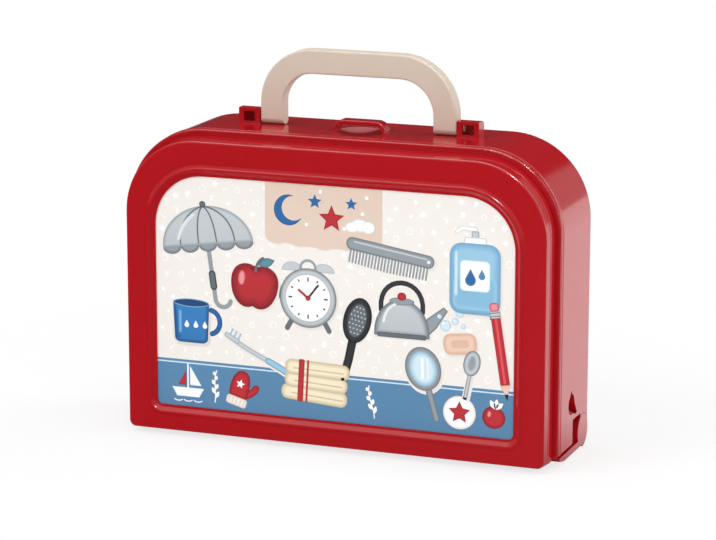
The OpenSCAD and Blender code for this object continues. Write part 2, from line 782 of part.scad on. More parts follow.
// Round lower rear edge, the foot that the case stands on
module foot() intersection() {
    translate([0, case_d - rear_axis_up, rear_axis_up]) bar(rear_axis_up, -recess_in, recess_in);
    translate([-recess_in, 0, 0]) cube([2 * recess_in, case_d, floor_up + wall / 2]);
}

// Hollows under the foot, with ribs between them
module foot_pockets() {
    span = 2 * (recess_in - wall);
    pitch = (span + wall) / foot_hollows;
    for (i = [0:foot_hollows - 1])
        translate([-span / 2 + i * pitch, case_d - rear_axis_up - foot_hollow_d / 2, -1])
            cube([pitch - wall, foot_hollow_d, floor_up + 1]);
}

// The spine: a ribbed plate under the case with an ear and a pin at each end
module spine() color(red) placed() {
    difference() {
        union() {
            translate([-shell_w / 2, spine_front, 0])
                cube([shell_w, spine_rear - spine_front, wall]);
            for (d = [spine_front, spine_rear - wall])
                translate([-shell_w / 2, d, 0]) cube([shell_w, wall, spine_h]);
            for (i = [-2:2])
                translate([i * rib_pitch - wall / 2, spine_front, 0])
                    cube([wall, spine_rear - spine_front, spine_h]);
            for (side = [0, 1]) mirror([side, 0, 0]) {
                translate([ear_in, spine_front, 0])
                    cube([ear_t, arm_rear - spine_front, spine_h]);
                translate([shell_w / 2 - end_in, spine_front, 0])
                    cube([end_in, spine_rear - spine_front, spine_h]);
                translate([0, rear_axis_d, rear_axis_up]) {
                    bar(ear_r, ear_in, shell_w / 2);
                    bar(ear_pin_r, recess_in - wall + gap, ear_in + 1);
                }
            }
            knuckle_row([-1, 1], knuckle_r, 0);
            // Webs that carry the spine's knuckles
            at_knuckles([-1, 1])
                translate([-knuckle_len / 2, 0, front_axis_up - knuckle_r])
                    cube([knuckle_len, spine_front - front_axis_d + 1, knuckle_r + wall - 1]);
        }
        knuckle_row([-1, 1], hinge_pin_r + 0.01, 1);
        for (side = [0, 1]) mirror([side, 0, 0]) side_plate(shell_w / 2 - end_in, shell_w / 2 + 1)
            polygon([
                [spine_front - 1, -1], [spine_front - 1, end_up[0]],
                [spine_front + end_l, end_up[1]], [rear_axis_d, end_up[1]], [rear_axis_d, -1]
            ]);
        // Room for the lid's knuckles
        at_knuckles([0])
            translate([-knuckle_len / 2 - gap, -knuckle_r - 1, -1])
                cube([knuckle_len + 2 * gap, 2 * knuckle_r + 1 + gap, floor_up]);
    }
}

// Steel pins of the lid's hinge
module hinge_pins() color(steel) placed()
    for (side = [-1, 1])
        translate([side * hinge_x, front_axis_d, front_axis_up])
            bar(hinge_pin_r, -1.5 * knuckle_len + 0.5, 1.5 * knuckle_len - 0.5);

// The handle's section: x across the strap and y from front to back
module strap() soft_rect(strap_w, strap_t, strap_edge_r);

module handle() color(beige) placed() translate([0, pivot_back, 0]) {
    leg_x = (handle_w - strap_w) / 2;
    top_z = shell_top + handle_up;
    for (side = [0, 1]) mirror([side, 0, 0]) {
        shoulder_r = side == 0 ? right_r : left_r;
        bend_z = top_z - shoulder_r;
        translate([leg_x, 0, pivot_z]) {
            linear_extrude(bend_z - pivot_z) strap();
            // Round lower end that lets the leg turn, and its pin
            intersection() {
                translate([0, 0, -pivot_up]) linear_extrude(pivot_up + 1) strap();
                bar(pivot_up - gap, -strap_w, strap_w);
            }
            bar(handle_pin_r, 0, strap_w / 2 + lug_gap + lug_side + pin_tip);
        }
        translate([handle_w / 2 - shoulder_r, 0, bend_z]) rotate([90, 0, 0])
            rotate_extrude(angle = 90, $fn = 96) translate([shoulder_r - strap_w / 2, 0]) strap();
    }
    translate([left_r - handle_w / 2, 0, top_z - strap_w / 2]) rotate([90, 0, 90])
        linear_extrude(handle_w - left_r - right_r) rotate(90) strap();
}

// The latch: a dished plate with a finger bar, turning on pins at its front edge
module latch() color(red) placed() translate([latch_x, 0, 0]) {
    ball_r = (pow(scoop_r, 2) + pow(scoop_deep, 2)) / (2 * scoop_deep);
    ball_at = [0, latch_front + latch_margin + scoop_r, shell_top + ball_r - scoop_deep];
    plate_l = latch_l - latch_wall;
    bend = bar_up - bar_t / 2;
    bar_w = latch_w - 2 * bar_in;
    difference() {
        union() {
            intersection() {
                translate(ball_at) sphere(ball_r + latch_wall, $fn = 96);
                translate([-latch_w / 2, latch_axis_d, shell_top - latch_down])
                    cube([latch_w, plate_l, latch_down]);
            }
            translate([-latch_w / 2, latch_axis_d, latch_axis_z])
                cube([latch_w, plate_l, latch_wall]);
            translate([0, latch_axis_d, latch_axis_z]) {
                bar(latch_wall, -latch_w / 2, latch_w / 2);
                for (side = [0, 1]) mirror([side, 0, 0])
                    bar(latch_pin_r, 0, latch_w / 2 + latch_boss_l - 3 * gap);
            }
            latch_hook();
        }
        translate(ball_at) sphere(ball_r, $fn = 96);
    }
    // Finger bar over the scoop
    translate([0, latch_front + bar_back, shell_top]) {
        for (side = [0, 1]) mirror([side, 0, 0]) {
            translate([bar_w / 2 - bar_up, 0, 0]) rotate([90, 0, 0])
                rotate_extrude(angle = 90) translate([bend, 0]) soft_rect(bar_t, bar_d, 1);
            translate([(bar_w - bar_t) / 2, 0, -latch_wall / 2])
                linear_extrude(latch_wall) soft_rect(bar_t, bar_d, 1);
        }
        translate([-bar_w / 2 + bar_up, 0, bend]) rotate([90, 0, 90])
            linear_extrude(bar_w - 2 * bar_up) soft_rect(bar_d, bar_t, 1);
    }
}

// Leg and nose that reach down to the lid's catch
module latch_hook() translate([-catch_half, 0, catch_z]) {
    translate([0, latch_axis_d - latch_wall / 2, 0])
        cube([2 * catch_half, latch_wall, latch_axis_z - catch_z]);
    translate([0, catch_reach + gap, 0])
        cube([2 * catch_half, latch_axis_d - catch_reach - gap, catch_t]);
}

// Puts an instrument on the case's floor: y = 0 is the given depth and z = 0 its foot
module seated(x, d) translate([x, d - mid_d, seat_z]) children();

// A flat outline drawn as x and height, made into a plate that starts at y = 0
module upright_plate(t) translate([0, t, 0]) rotate([90, 0, 0]) linear_extrude(t) children();

// Half section of the jar: a body with a round foot and shoulder, and a neck
module jar_half(inset) {
    shoulder_z = jar_h - jar_shoulder_r;
    translate([0, jar_foot_r]) square([jar_r - inset, shoulder_z - jar_foot_r]);
    translate([0, inset]) square([jar_r - jar_foot_r, shoulder_z - inset]);
    translate([0, jar_foot_r]) square([jar_r - jar_shoulder_r, jar_h - jar_foot_r - inset]);
    translate([0, jar_foot_r]) square([neck_r - inset, jar_h + neck_h - jar_foot_r + inset]);
    translate([jar_r - jar_foot_r, jar_foot_r]) circle(jar_foot_r - inset);
    translate([jar_r - jar_shoulder_r, shoulder_z]) circle(jar_shoulder_r - inset);
}

// The jar: a hollow body, a label around its front and a cap that turns
module jar_body() color(red) seated(jar_x, back_seat - jar_r) rotate_extrude() difference() {
    jar_half(0);
    jar_half(jar_wall);
}

module jar_label() color("white") seated(jar_x, back_seat - jar_r)
    translate([0, 0, label_up]) rotate(-165) rotate_extrude(angle = 150)
        translate([jar_r + 0.05, 0]) square([0.25, label_h]);

module jar_cap() color(red) seated(jar_x, back_seat - jar_r) translate([0, 0, jar_h + gap]) {
    difference() {
        cylinder(r = cap_r, h = neck_h + jar_wall);
        translate([0, 0, -1]) cylinder(r = neck_r + gap, h = neck_h + 1);
    }
    for (a = [0:15:345])
        rotate(a) translate([cap_r, 0, 0]) cylinder(r = cap_rib_r, h = neck_h, $fn = 16);
}

// The phone: a body with a screen let into it and raised tiles
module phone_body() color(grey) seated(phone_x, back_seat - phone_t) difference() {
    translate([0, 0, phone_h / 2]) upright_plate(phone_t) soft_rect(phone_w, phone_h, phone_r);
    translate([0, -1, phone_h / 2])
        upright_plate(screen_deep + 1) soft_rect(screen_w, screen_h, phone_r / 2);
}

module phone_screen() color("#a9d3e6") seated(phone_x, back_seat - phone_t)
    translate([0, screen_deep - screen_t - inlay_play, phone_h / 2]) upright_plate(screen_t)
        soft_rect(screen_w - 2 * inlay_play, screen_h - 2 * inlay_play, phone_r / 2 - inlay_play);

// One row of square tiles on the screen
module tile_row(up)
    for (col = [-1:1])
        translate([col * tile_pitch, screen_deep - screen_t - inlay_play - tile_t, up])
            upright_plate(tile_t) soft_rect(tile_w, tile_w, 1.6);

module phone_tiles() color("white") seated(phone_x, back_seat - phone_t)
    for (row = [0:3]) tile_row(tiles_up + row * 1.1 * tile_pitch);

module phone_call_tiles() color(red) seated(phone_x, back_seat - phone_t) tile_row(call_up);

// Half of the scissors, pivot at the origin: a blade above and a finger loop below right
module scissors_half() {
    half = blade_w / 2;
    root_z = loop_r + 1 - loop_down;
    difference() {
        union() {
            // Blade and tang in one outline
            polygon([
                [half * 0.9, 1], [half * 0.96, blade_l * 0.5], [half * 0.3, blade_l * 0.92],
                [-half * 0.3, blade_l], [-half * 0.6, blade_l * 0.92], [-half * 0.96, blade_l * 0.5],
                [-half * 0.9, 1], [-half * 0.7, -2], [loop_x - half, root_z], [loop_x + half, root_z]
            ]);
            circle(half);
            translate([loop_x, -loop_down]) circle(loop_r + loop_rim);
        }
        translate([loop_x, -loop_down]) circle(loop_r);
        circle(rivet_r + pin_play);
    }
}

module scissors_front() color(blue) seated(scissors_x, back_seat - 2 * blade_t - gap)
    translate([0, 0, pivot_h]) upright_plate(blade_t) scissors_half();

module scissors_rear() color(blue) seated(scissors_x, back_seat - blade_t)
    translate([0, 0, pivot_h]) mirror([1, 0, 0]) upright_plate(blade_t) scissors_half();

module scissors_rivet() color(blue) seated(scissors_x, back_seat - 2 * blade_t - gap)
    translate([0, 0, pivot_h]) rotate([-90, 0, 0]) {
        translate([0, 0, -rivet_t - gap]) cylinder(r = rivet_r + 2, h = rivet_t);
        translate([0, 0, -1]) cylinder(r = rivet_r, h = 2 * blade_t + gap + 1);
    }

// The reflex hammer: a ringed handle and a round head across its top
module hammer_handle() color(grey) seated(hammer_x, back_seat - hammer_r) {
    translate([0, 0, hammer_grip_r]) {
        sphere(hammer_grip_r);
        cylinder(r = hammer_grip_r, h = hammer_grip_h);
        for (z = [ring_pitch:ring_pitch:hammer_grip_h - ring_pitch])
            translate([0, 0, z]) rotate_extrude() translate([hammer_grip_r, 0])
                circle(ring_r, $fn = 16);
        translate([0, 0, hammer_grip_h]) cylinder(r1 = hammer_grip_r, r2 = shaft_r, h = 8);
    }
    translate([0, 0, hammer_grip_r]) cylinder(r = shaft_r, h = hammer_h - hammer_grip_r);
}

module hammer_head() color(grey) seated(hammer_x, back_seat - hammer_r)
    translate([0, 0, hammer_h + gap / 3 + hammer_r]) {
        mid = hammer_l / 2 - hammer_end_l;
        edge = 3;
        bar(hammer_mid_r, -mid - 1, mid + 1);
        translate([0, 0, -hammer_r]) cylinder(r = shaft_r + 2, h = hammer_r);
        for (side = [0, 1]) mirror([side, 0, 0]) {
            bar(hammer_r, mid, hammer_l / 2 - edge);
            translate([hammer_l / 2 - edge, 0, 0]) rotate([0, 90, 0]) rotate_extrude() {
                square([hammer_r - edge, edge]);
                intersection() {
                    translate([hammer_r - edge, 0]) circle(edge);
                    square([hammer_r, edge]);
                }
            }
        }
    }

// The otoscope: a grip, a neck and a round head with a cone that looks forwards
module otoscope_body() color(grey) seated(otoscope_x, back_seat - otoscope_head_r) {
    taper = 6;
    translate([0, 0, otoscope_r]) {
        sphere(otoscope_r);
        cylinder(r = otoscope_r, h = otoscope_grip_h - otoscope_r - taper);
    }
    translate([0, 0, otoscope_grip_h - taper])
        cylinder(r1 = otoscope_r, r2 = otoscope_neck_r, h = taper);
    translate([0, 0, otoscope_grip_h - 1])
        cylinder(r = otoscope_neck_r, h = otoscope_neck_h + otoscope_wall + 1);
    translate([0, otoscope_head_t / 2, otoscope_axis_z]) rotate([90, 0, 0]) difference() {
        cylinder(r = otoscope_head_r, h = otoscope_head_t);
        translate([0, 0, otoscope_head_t - otoscope_wall])
            cylinder(r = otoscope_head_r - otoscope_wall, h = otoscope_wall + 1);
    }
}

module otoscope_cone() color("#3c4347") seated(otoscope_x, back_seat - otoscope_head_r)
    translate([0, otoscope_wall - otoscope_head_t / 2 - gap / 3, otoscope_axis_z])
        rotate([90, 0, 0]) difference() {
            collar_r = otoscope_head_r - otoscope_wall - gap;
            union() {
                cylinder(r = collar_r, h = otoscope_wall + 1);
                translate([0, 0, otoscope_wall + 1])
                    cylinder(r1 = collar_r - 0.8, r2 = cone_tip_r, h = cone_l - otoscope_wall - 1);
            }
            translate([0, 0, cone_l / 2]) cylinder(r = cone_bore_r, h = cone_l);
        }

// The thermometer: a body that tapers to its tip, with a scale plate let into its window
module thermometer_body() color(grey) seated(thermometer_x, thermometer_d) difference() {
    upright_plate(thermometer_t) {
        half = thermometer_w / 2;
        tip = thermometer_tip_r;
        corner = 5;
        polygon([
            [tip, tip], [tip + 1.5, thermometer_taper_h * 0.6], [half, thermometer_taper_h],
            [half, thermometer_h - corner], [half - corner, thermometer_h],
            [corner - half, thermometer_h], [-half, thermometer_h - corner],
            [-half, thermometer_taper_h], [-tip - 1.5, thermometer_taper_h * 0.6], [-tip, tip]
        ]);
        translate([0, tip]) circle(tip);
        for (x = [corner - half, half - corner])
            translate([x, thermometer_h - corner]) circle(corner);
    }
    translate([0, -1, window_up])
        upright_plate(screen_deep + 1) soft_rect(window_w, window_h, 3);
}

module thermometer_scale() color("white") seated(thermometer_x, thermometer_d)
    translate([0, screen_deep - screen_t - inlay_play, window_up]) upright_plate(screen_t)
        soft_rect(window_w - 2 * inlay_play, window_h - 2 * inlay_play, 3 - inlay_play);

// The syringe: a nozzle, a clear barrel and a plunger that slides up
module syringe_nozzle() color(red) seated(hammer_x, syringe_d) {
    plug = 3;
    cylinder(r1 = 1.8, r2 = 3.2, h = nozzle_h - plug);
    translate([0, 0, nozzle_h - plug]) cylinder(r = bore_r, h = plug);
}

module syringe_barrel() color("#f0d6da", 0.6) seated(hammer_x, syringe_d)
    translate([0, 0, nozzle_h]) difference() {
        union() {
            cylinder(r = barrel_r, h = barrel_h);
            intersection() {
                translate([0, 0, barrel_h - flange_t]) cylinder(r = thumb_r + 3, h = flange_t);
                translate([-thumb_r - 3, -barrel_r, 0])
                    cube([2 * thumb_r + 6, 2 * barrel_r, barrel_h + 1]);
            }
        }
        translate([0, 0, -1]) cylinder(r = bore_r, h = barrel_h + 2);
    }

module syringe_plunger() color(red) seated(hammer_x, syringe_d)
    translate([0, 0, nozzle_h + gap]) {
        seal = 5;
        neck = 6;
        cylinder(r = bore_r - pin_play, h = seal);
        cylinder(r = bore_r - 1.6, h = barrel_h + neck);
        translate([0, 0, barrel_h + 2]) cylinder(r = barrel_r - 1.5, h = neck - 2);
        translate([0, 0, barrel_h + neck]) cylinder(r1 = barrel_r * 0.6, r2 = thumb_r - 1, h = neck);
        translate([0, 0, barrel_h + 2 * neck]) cylinder(r = thumb_r, h = thumb_t);
    }

// The glasses lie on the floor with their rims flat: y = 0 is their top edge
module glasses_front() color(red) seated(0, glasses_d) {
    ring_d = rim_r + rim_w;
    linear_extrude(frame_t) difference() {
        union() {
            for (x = [-eye_x, eye_x]) translate([x, ring_d]) circle(rim_r + rim_w);
            // Bar between the rims
            translate([-eye_x, 3]) square([2 * eye_x, 4.5]);
            for (side = [0, 1]) mirror([side, 0]) polygon([
                [eye_x, 0], [glasses_w / 2, 0], [glasses_w / 2, 2 * temple_t + 3 * temple_ear_t],
                [eye_x + rim_r, cheek_d]
            ]);
        }
        for (x = [-eye_x, eye_x]) translate([x, ring_d]) circle(rim_r);
    }
    for (side = [-1, 1], end = [-1, 1])
        translate([side * temple_x, temple_row[side < 0 ? 0 : 1], 0])
            translate([0, end * (temple_t / 2 + 0.15 + temple_ear_t / 2), 0]) temple_ear();
}

// One ear on the frame, with a bore for a temple's pin
module temple_ear() translate([0, -temple_ear_t / 2, 0]) difference() {
    translate([-2.2, 0, 0]) cube([4.4, temple_ear_t, temple_axis_z + 2.2]);
    translate([0, -1, temple_axis_z]) rotate([-90, 0, 0])
        cylinder(r = temple_pin_r + pin_play, h = temple_ear_t + 2, $fn = 32);
}

// A temple, folded over the frame: it points towards the middle and its tip hooks down
module temple(side) {
    straight = temple_l - temple_hook;
    row = temple_row[side < 0 ? 0 : 1];
    translate([side * temple_x, row - temple_t / 2, temple_axis_z]) rotate([-90, 0, 0]) {
        linear_extrude(temple_t) mirror([side < 0 ? 0 : 1, 0]) {
            circle(temple_t / 2);
            translate([0, -temple_t / 2]) square([straight, temple_t]);
            translate([straight, 0]) circle(temple_t / 2);
            polygon([
                [straight - 1, -temple_t / 2], [straight - 1, temple_t / 2],
                [temple_l - 2, -temple_t * 0.6], [temple_l, -temple_t * 1.6],
                [temple_l - 3, -temple_t * 2]
            ]);
        }
        translate([0, 0, -temple_ear_t])
            cylinder(r = temple_pin_r, h = temple_t + 2 * temple_ear_t, $fn = 32);
    }
}

module glasses_temple_left() color(red) seated(0, glasses_d) temple(-1);
module glasses_temple_right() color(red) seated(0, glasses_d) temple(1);

// Soft plastic plasters in a stack
module plasters() color("#e8c9b4")
    for (i = [1:plaster_count])
        seated(plasters_x, phone_front - gap - i * (plaster_t + plaster_gap)) upright_plate(plaster_t) {
            for (z = [plaster_w / 2, plaster_l - plaster_w / 2])
                translate([0, z]) circle(plaster_w / 2);
            translate([-plaster_w / 2, plaster_w / 2]) square([plaster_w, plaster_l - plaster_w]);
        }

back_shell();
lid_shell();
print_card();
spine();
hinge_pins();
handle();
latch();
jar_body();
jar_cap();
jar_label();
phone_body();
phone_screen();
phone_tiles();
phone_call_tiles();
scissors_front();
scissors_rear();
scissors_rivet();
hammer_handle();
hammer_head();
otoscope_body();
otoscope_cone();
thermometer_body();
thermometer_scale();
syringe_nozzle();
syringe_barrel();
syringe_plunger();
glasses_front();
glasses_temple_left();
glasses_temple_right();
plasters();
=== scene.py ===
# %% [markdown]
# A toy doctor case, dressed for its photograph. Every piece of the case already has its true
# size and place as a CAD solid, and this lesson gives those solids the looks of moulded
# plastic, printed card and steel, and adds the fine pieces that the solids leave out. The
# frame is loaded first.

# %% The frame
import json
import math
import random
import bpy
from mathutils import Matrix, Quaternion, Vector


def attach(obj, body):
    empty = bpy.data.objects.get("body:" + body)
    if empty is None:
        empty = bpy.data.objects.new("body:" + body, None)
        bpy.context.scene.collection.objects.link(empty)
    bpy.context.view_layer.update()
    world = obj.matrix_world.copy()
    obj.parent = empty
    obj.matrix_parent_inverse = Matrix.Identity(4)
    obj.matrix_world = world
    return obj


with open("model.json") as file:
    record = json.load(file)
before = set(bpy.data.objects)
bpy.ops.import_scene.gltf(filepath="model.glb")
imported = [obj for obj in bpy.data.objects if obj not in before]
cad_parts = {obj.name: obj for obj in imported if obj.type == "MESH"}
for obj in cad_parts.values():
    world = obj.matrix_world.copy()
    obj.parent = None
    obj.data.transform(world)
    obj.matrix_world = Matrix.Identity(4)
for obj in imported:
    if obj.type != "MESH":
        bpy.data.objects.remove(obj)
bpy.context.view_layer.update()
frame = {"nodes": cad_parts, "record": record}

scene = bpy.context.scene
MM = 0.001

# %% [markdown]
# The camera stands in front of the case, a little to its right and above it, and far away:
# a long lens keeps the sides almost parallel. Its place follows from the point it looks at,
# two angles and the distance.

# %% Camera
LOOK_AT = Vector((19.56, -43.35, 128.53)) * MM
CAMERA_YAW = 20.78
CAMERA_PITCH = 12.80
CAMERA_ROLL = 0.06
CAMERA_DISTANCE = 1929.0 * MM
CAMERA_LENS = 145.8
SENSOR_WIDTH = 36.0
NEAR, FAR = 0.05, 60.0


def direction(yaw, pitch):
    """Unit vector from the object towards a place: yaw 0 is the front and 90 the right side."""
    a, e = math.radians(yaw), math.radians(pitch)
    return Vector((math.sin(a) * math.cos(e), -math.cos(a) * math.cos(e), math.sin(e)))


def aim(thing, place, target, roll=0.0):
    """Puts a camera or a lamp at a place and turns its -Z axis to the target."""
    thing.location = place
    thing.rotation_mode = "QUATERNION"
    turn = (target - place).to_track_quat("-Z", "Y")
    thing.rotation_quaternion = turn @ Quaternion((0, 0, 1), math.radians(roll))


camera = bpy.data.objects.new("camera", bpy.data.cameras.new("camera"))
scene.collection.objects.link(camera)
camera.data.lens = CAMERA_LENS
camera.data.sensor_width = SENSOR_WIDTH
camera.data.clip_start, camera.data.clip_end = NEAR, FAR
aim(camera, LOOK_AT + direction(CAMERA_YAW, CAMERA_PITCH) * CAMERA_DISTANCE, LOOK_AT, CAMERA_ROLL)
scene.camera = camera
scene.view_settings.view_transform = "Standard"
print("camera at", [round(v, 3) for v in camera.location])

# %% [markdown]
# Meshes and shader trees are built by a few small helpers. A value that goes into a shader
# node is either a number, which is set on the socket, or another node's output, which is
# linked to it.

# %% Helpers for meshes and shader trees


def add_mesh(name, verts, faces, smooth=False):
    """A new mesh object from points in metres and faces."""
    mesh = bpy.data.meshes.new(name)
    mesh.from_pydata([tuple(v) for v in verts], [], faces)
    mesh.validate()
    mesh.update()
    thing = bpy.data.objects.new(name, mesh)
    scene.collection.objects.link(thing)
    if smooth:
        mesh.shade_smooth()
    return thing


def blank_material(name):
    """A material with an empty node tree, and that tree."""
    mat = bpy.data.materials.new(name)
    mat.use_nodes = True
    mat.node_tree.nodes.clear()
    return mat, mat.node_tree


def feed(tree, socket, value):
    """Sets a socket to a number or a colour, or links another node's output to it."""
    if isinstance(value, bpy.types.NodeSocket):
        tree.links.new(value, socket)
    else:
        socket.default_value = value


def add_node(tree, kind, settings=None, **sockets):
    """A shader node with its settings and its named sockets; _ stands for a space."""
    node = tree.nodes.new("ShaderNode" + kind)
    for key, value in (settings or {}).items():
        setattr(node, key, value)
    for key, value in sockets.items():
        feed(tree, node.inputs[key.replace("_", " ")], value)
    return node


def math_node(tree, kind, *values):
    """The output of a math node with two or three values."""
    node = add_node(tree, "Math", {"operation": kind})
    for socket, value in zip(node.inputs, values):
        feed(tree, socket, value)
    return node.outputs[0]


def map_range(tree, value, from_range, to_range):
    """A value carried over from one range to another, and held at its ends."""
    node = add_node(tree, "MapRange", Value=value, From_Min=from_range[0], From_Max=from_range[1],
                    To_Min=to_range[0], To_Max=to_range[1])
    return node.outputs["Result"]


def mix_shaders(tree, share, first, second):
    """The first shader, and by its share the second one."""
    node = add_node(tree, "MixShader", Fac=share)
    feed(tree, node.inputs[1], first.outputs[0])
    feed(tree, node.inputs[2], second.outputs[0])
    return node


def ray_kinds(tree):
    """Two masks: rays seen straight or through clear plastic, and mirrored rays."""
    path = add_node(tree, "LightPath").outputs
    direct = math_node(tree, "MAXIMUM", path["Is Camera Ray"], path["Is Transmission Ray"])
    return direct, path["Is Glossy Ray"]


print("helpers ready")

# %% [markdown]
# The case stands on a white sweep. The floor is a thin film over the white world: the camera
# sees the world through it, with a soft shadow on it, and so a lid that swings down past the
# floor stays in sight. What the glossy plastic mirrors is set apart from that: behind and to
# the right the sweep is bright, and in front of the case it is dim.

# %% Floor
FLOOR_SIZE = 24.0
FLOOR_SHADE = (0.9, 0.9, 0.9, 1)
SHADOW_SHARE = 0.24
SHADOW_RANGE = (0.22, 0.50)
FRONT_TO_REAR = (-0.05, 0.10)
REAR_GLOSS_RANGE = (0.13, 1.25)
LEFT_TO_RIGHT = (-0.15, 0.15)
RIGHT_SHARE_RANGE = (0.30, 1.0)


def floor_material():
    """White with a shadow to the camera, and a graded light sweep to mirrored rays."""
    mat, tree = blank_material("white_sweep")
    lit = add_node(tree, "BsdfDiffuse", Color=FLOOR_SHADE)
    white = add_node(tree, "BsdfTransparent")
    place = add_node(tree, "NewGeometry").outputs["Position"]
    axes = add_node(tree, "SeparateXYZ", Vector=place)
    behind = map_range(tree, axes.outputs["Y"], FRONT_TO_REAR, REAR_GLOSS_RANGE)
    to_right = map_range(tree, axes.outputs["X"], LEFT_TO_RIGHT, RIGHT_SHARE_RANGE)
    mirrored = add_node(tree, "Emission", Strength=math_node(tree, "MULTIPLY", behind, to_right))
    # The shadow fades out with the distance from the case
    away = add_node(tree, "VectorMath", {"operation": "LENGTH"}, Vector=place)
    film = map_range(tree, away.outputs["Value"], SHADOW_RANGE, (1 - SHADOW_SHARE, 1.0))
    seen = mix_shaders(tree, film, lit, white)
    direct, glossy = ray_kinds(tree)
    first = mix_shaders(tree, direct, lit, seen)
    second = mix_shaders(tree, glossy, first, mirrored)
    add_node(tree, "OutputMaterial", Surface=second.outputs[0])
    return mat


def rectangle(name, width, height):
    """A flat rectangle about its own middle, in metres."""
    w, h = width / 2, height / 2
    return add_mesh(name, [(-w, -h, 0), (w, -h, 0), (w, h, 0), (-w, h, 0)], [(0, 1, 2, 3)])


floor = rectangle("floor", FLOOR_SIZE, FLOOR_SIZE)
floor.data.materials.append(floor_material())
floor.visible_shadow = False
print("floor:", FLOOR_SIZE, "m wide")

# %% [markdown]
# The sky is white to the camera, even for soft light, and brightest overhead for mirrored
# rays, which draws thin lines of light on the edges. A black flag hangs behind the set, out of
# the picture, so that the top of the case mirrors it and stays a deep red.

# %% Sky and flag
WORLD_LIGHT = 0.335
WORLD_GLOSS = 0.44
TOP_GLOSS = 1.9
TOP_RANGE = (0.55, 0.90)
FLAG_LEVEL = 0.05
world = bpy.data.worlds.new("studio")
scene.world = world
world.use_nodes = True
sky = world.node_tree
sky.nodes.clear()
direct, glossy = ray_kinds(sky)
aimed = add_node(sky, "TexCoord")
height = add_node(sky, "SeparateXYZ", Vector=aimed.outputs["Generated"])
extra = map_range(sky, height.outputs["Z"], TOP_RANGE, (WORLD_GLOSS - WORLD_LIGHT, TOP_GLOSS - WORLD_LIGHT))
level = math_node(sky, "MULTIPLY_ADD", glossy, extra, WORLD_LIGHT)
strength = add_node(sky, "Mix", Factor=direct, A=level, B=1.0)
light = add_node(sky, "Background", Color=(1, 1, 1, 1), Strength=strength.outputs["Result"])
add_node(sky, "OutputWorld", Surface=light.outputs[0])


def flag(name, centre, width, height, yaw, pitch):
    """A black panel that only mirrored rays see."""
    panel = rectangle(name, width, height)
    aim(panel, Vector(centre), Vector(centre) - direction(yaw, pitch))
    mat, tree = blank_material(name)
    add_node(tree, "OutputMaterial", Surface=add_node(tree, "Emission", Strength=FLAG_LEVEL).outputs[0])
    panel.data.materials.append(mat)
    for rays in ("camera", "diffuse", "shadow", "transmission"):
        setattr(panel, "visible_" + rays, False)


flag("rear_flag", (-0.9, 2.2, 1.0), 3.6, 1.9, 20, -8)
print("sky strength for soft light:", WORLD_LIGHT)

# %% [markdown]
# Large soft lamps light the case at a plain level, so that each colour shows about as it is
# written. A wide lamp hangs over the front left, a second one fills from the front, and a
# tall strip stands at the right and behind: its mirror image is the pale pink sheen along the
# right side of the case. A small lamp that only mirrored rays see draws the thin light lines
# along the rounded edges.

# %% Lamps


def soft_lamp(name, place, width, height, watts, mirrored=True):
    """A rectangular lamp aimed at the case; mirrored says whether the plastic shows its image."""
    data = bpy.data.lights.new(name, "AREA")
    data.shape = "RECTANGLE"
    data.size, data.size_y = width, height
    data.energy = watts
    lamp = bpy.data.objects.new(name, data)
    scene.collection.objects.link(lamp)
    aim(lamp, Vector(place), Vector(LAMPS_AIM_AT))
    lamp.visible_glossy = mirrored
    return lamp


LAMPS_AIM_AT = (0.0, 0.0, 0.12)
soft_lamp("key", (-1.5, -1.9, 2.3), 1.6, 1.6, 43, mirrored=False)
soft_lamp("fill", (1.4, -2.2, 1.0), 1.8, 1.4, 18, mirrored=False)
soft_lamp("overhead", (0.0, 0.0, 2.2), 2.2, 1.0, 20)
soft_lamp("side_strip", (1.7, 0.9, 0.9), 0.9, 1.6, 16)
glint = soft_lamp("glint", (1.0, -1.2, 2.0), 0.5, 0.5, 58)
glint.visible_diffuse = False
print("lamps:", [lamp.name for lamp in bpy.data.lights])

# %% [markdown]
# Moulded plastic is never one flat colour. Its skin has a faint ripple from the mould, very
# fine marks from handling that break up the shine, and a slight drift in colour. These
# effects are shader node groups, built once. Each material places them with its own scale
# and strength and keeps its own Principled shader.

# %% Shared surface effects
STREAK_STRETCH = (1.0, 1.0, 0.16)
STREAK_TURN = (0.5, 0.3, 0.9)
STREAK_SCALE = 420.0
PATCH_SCALE = 24.0


def group_tree(name, inputs, outputs):
    """A shader node group with float inputs (name, default) and float outputs (name)."""
    tree = bpy.data.node_groups.new(name, "ShaderNodeTree")
    tree.interface.new_socket("Vector", in_out="INPUT", socket_type="NodeSocketVector")
    for key, value in inputs:
        socket = tree.interface.new_socket(key, in_out="INPUT", socket_type="NodeSocketFloat")
        socket.default_value = value
    for key in outputs:
        tree.interface.new_socket(key, in_out="OUTPUT", socket_type="NodeSocketFloat")
    return tree, tree.nodes.new("NodeGroupInput").outputs, tree.nodes.new("NodeGroupOutput").inputs


def noise(tree, at, scale, detail=2.0, rough=0.5):
    """Soft noise from 0 to 1."""
    node = add_node(tree, "TexNoise", Vector=at, Scale=scale, Detail=detail, Roughness=rough)
    return node.outputs["Fac"]


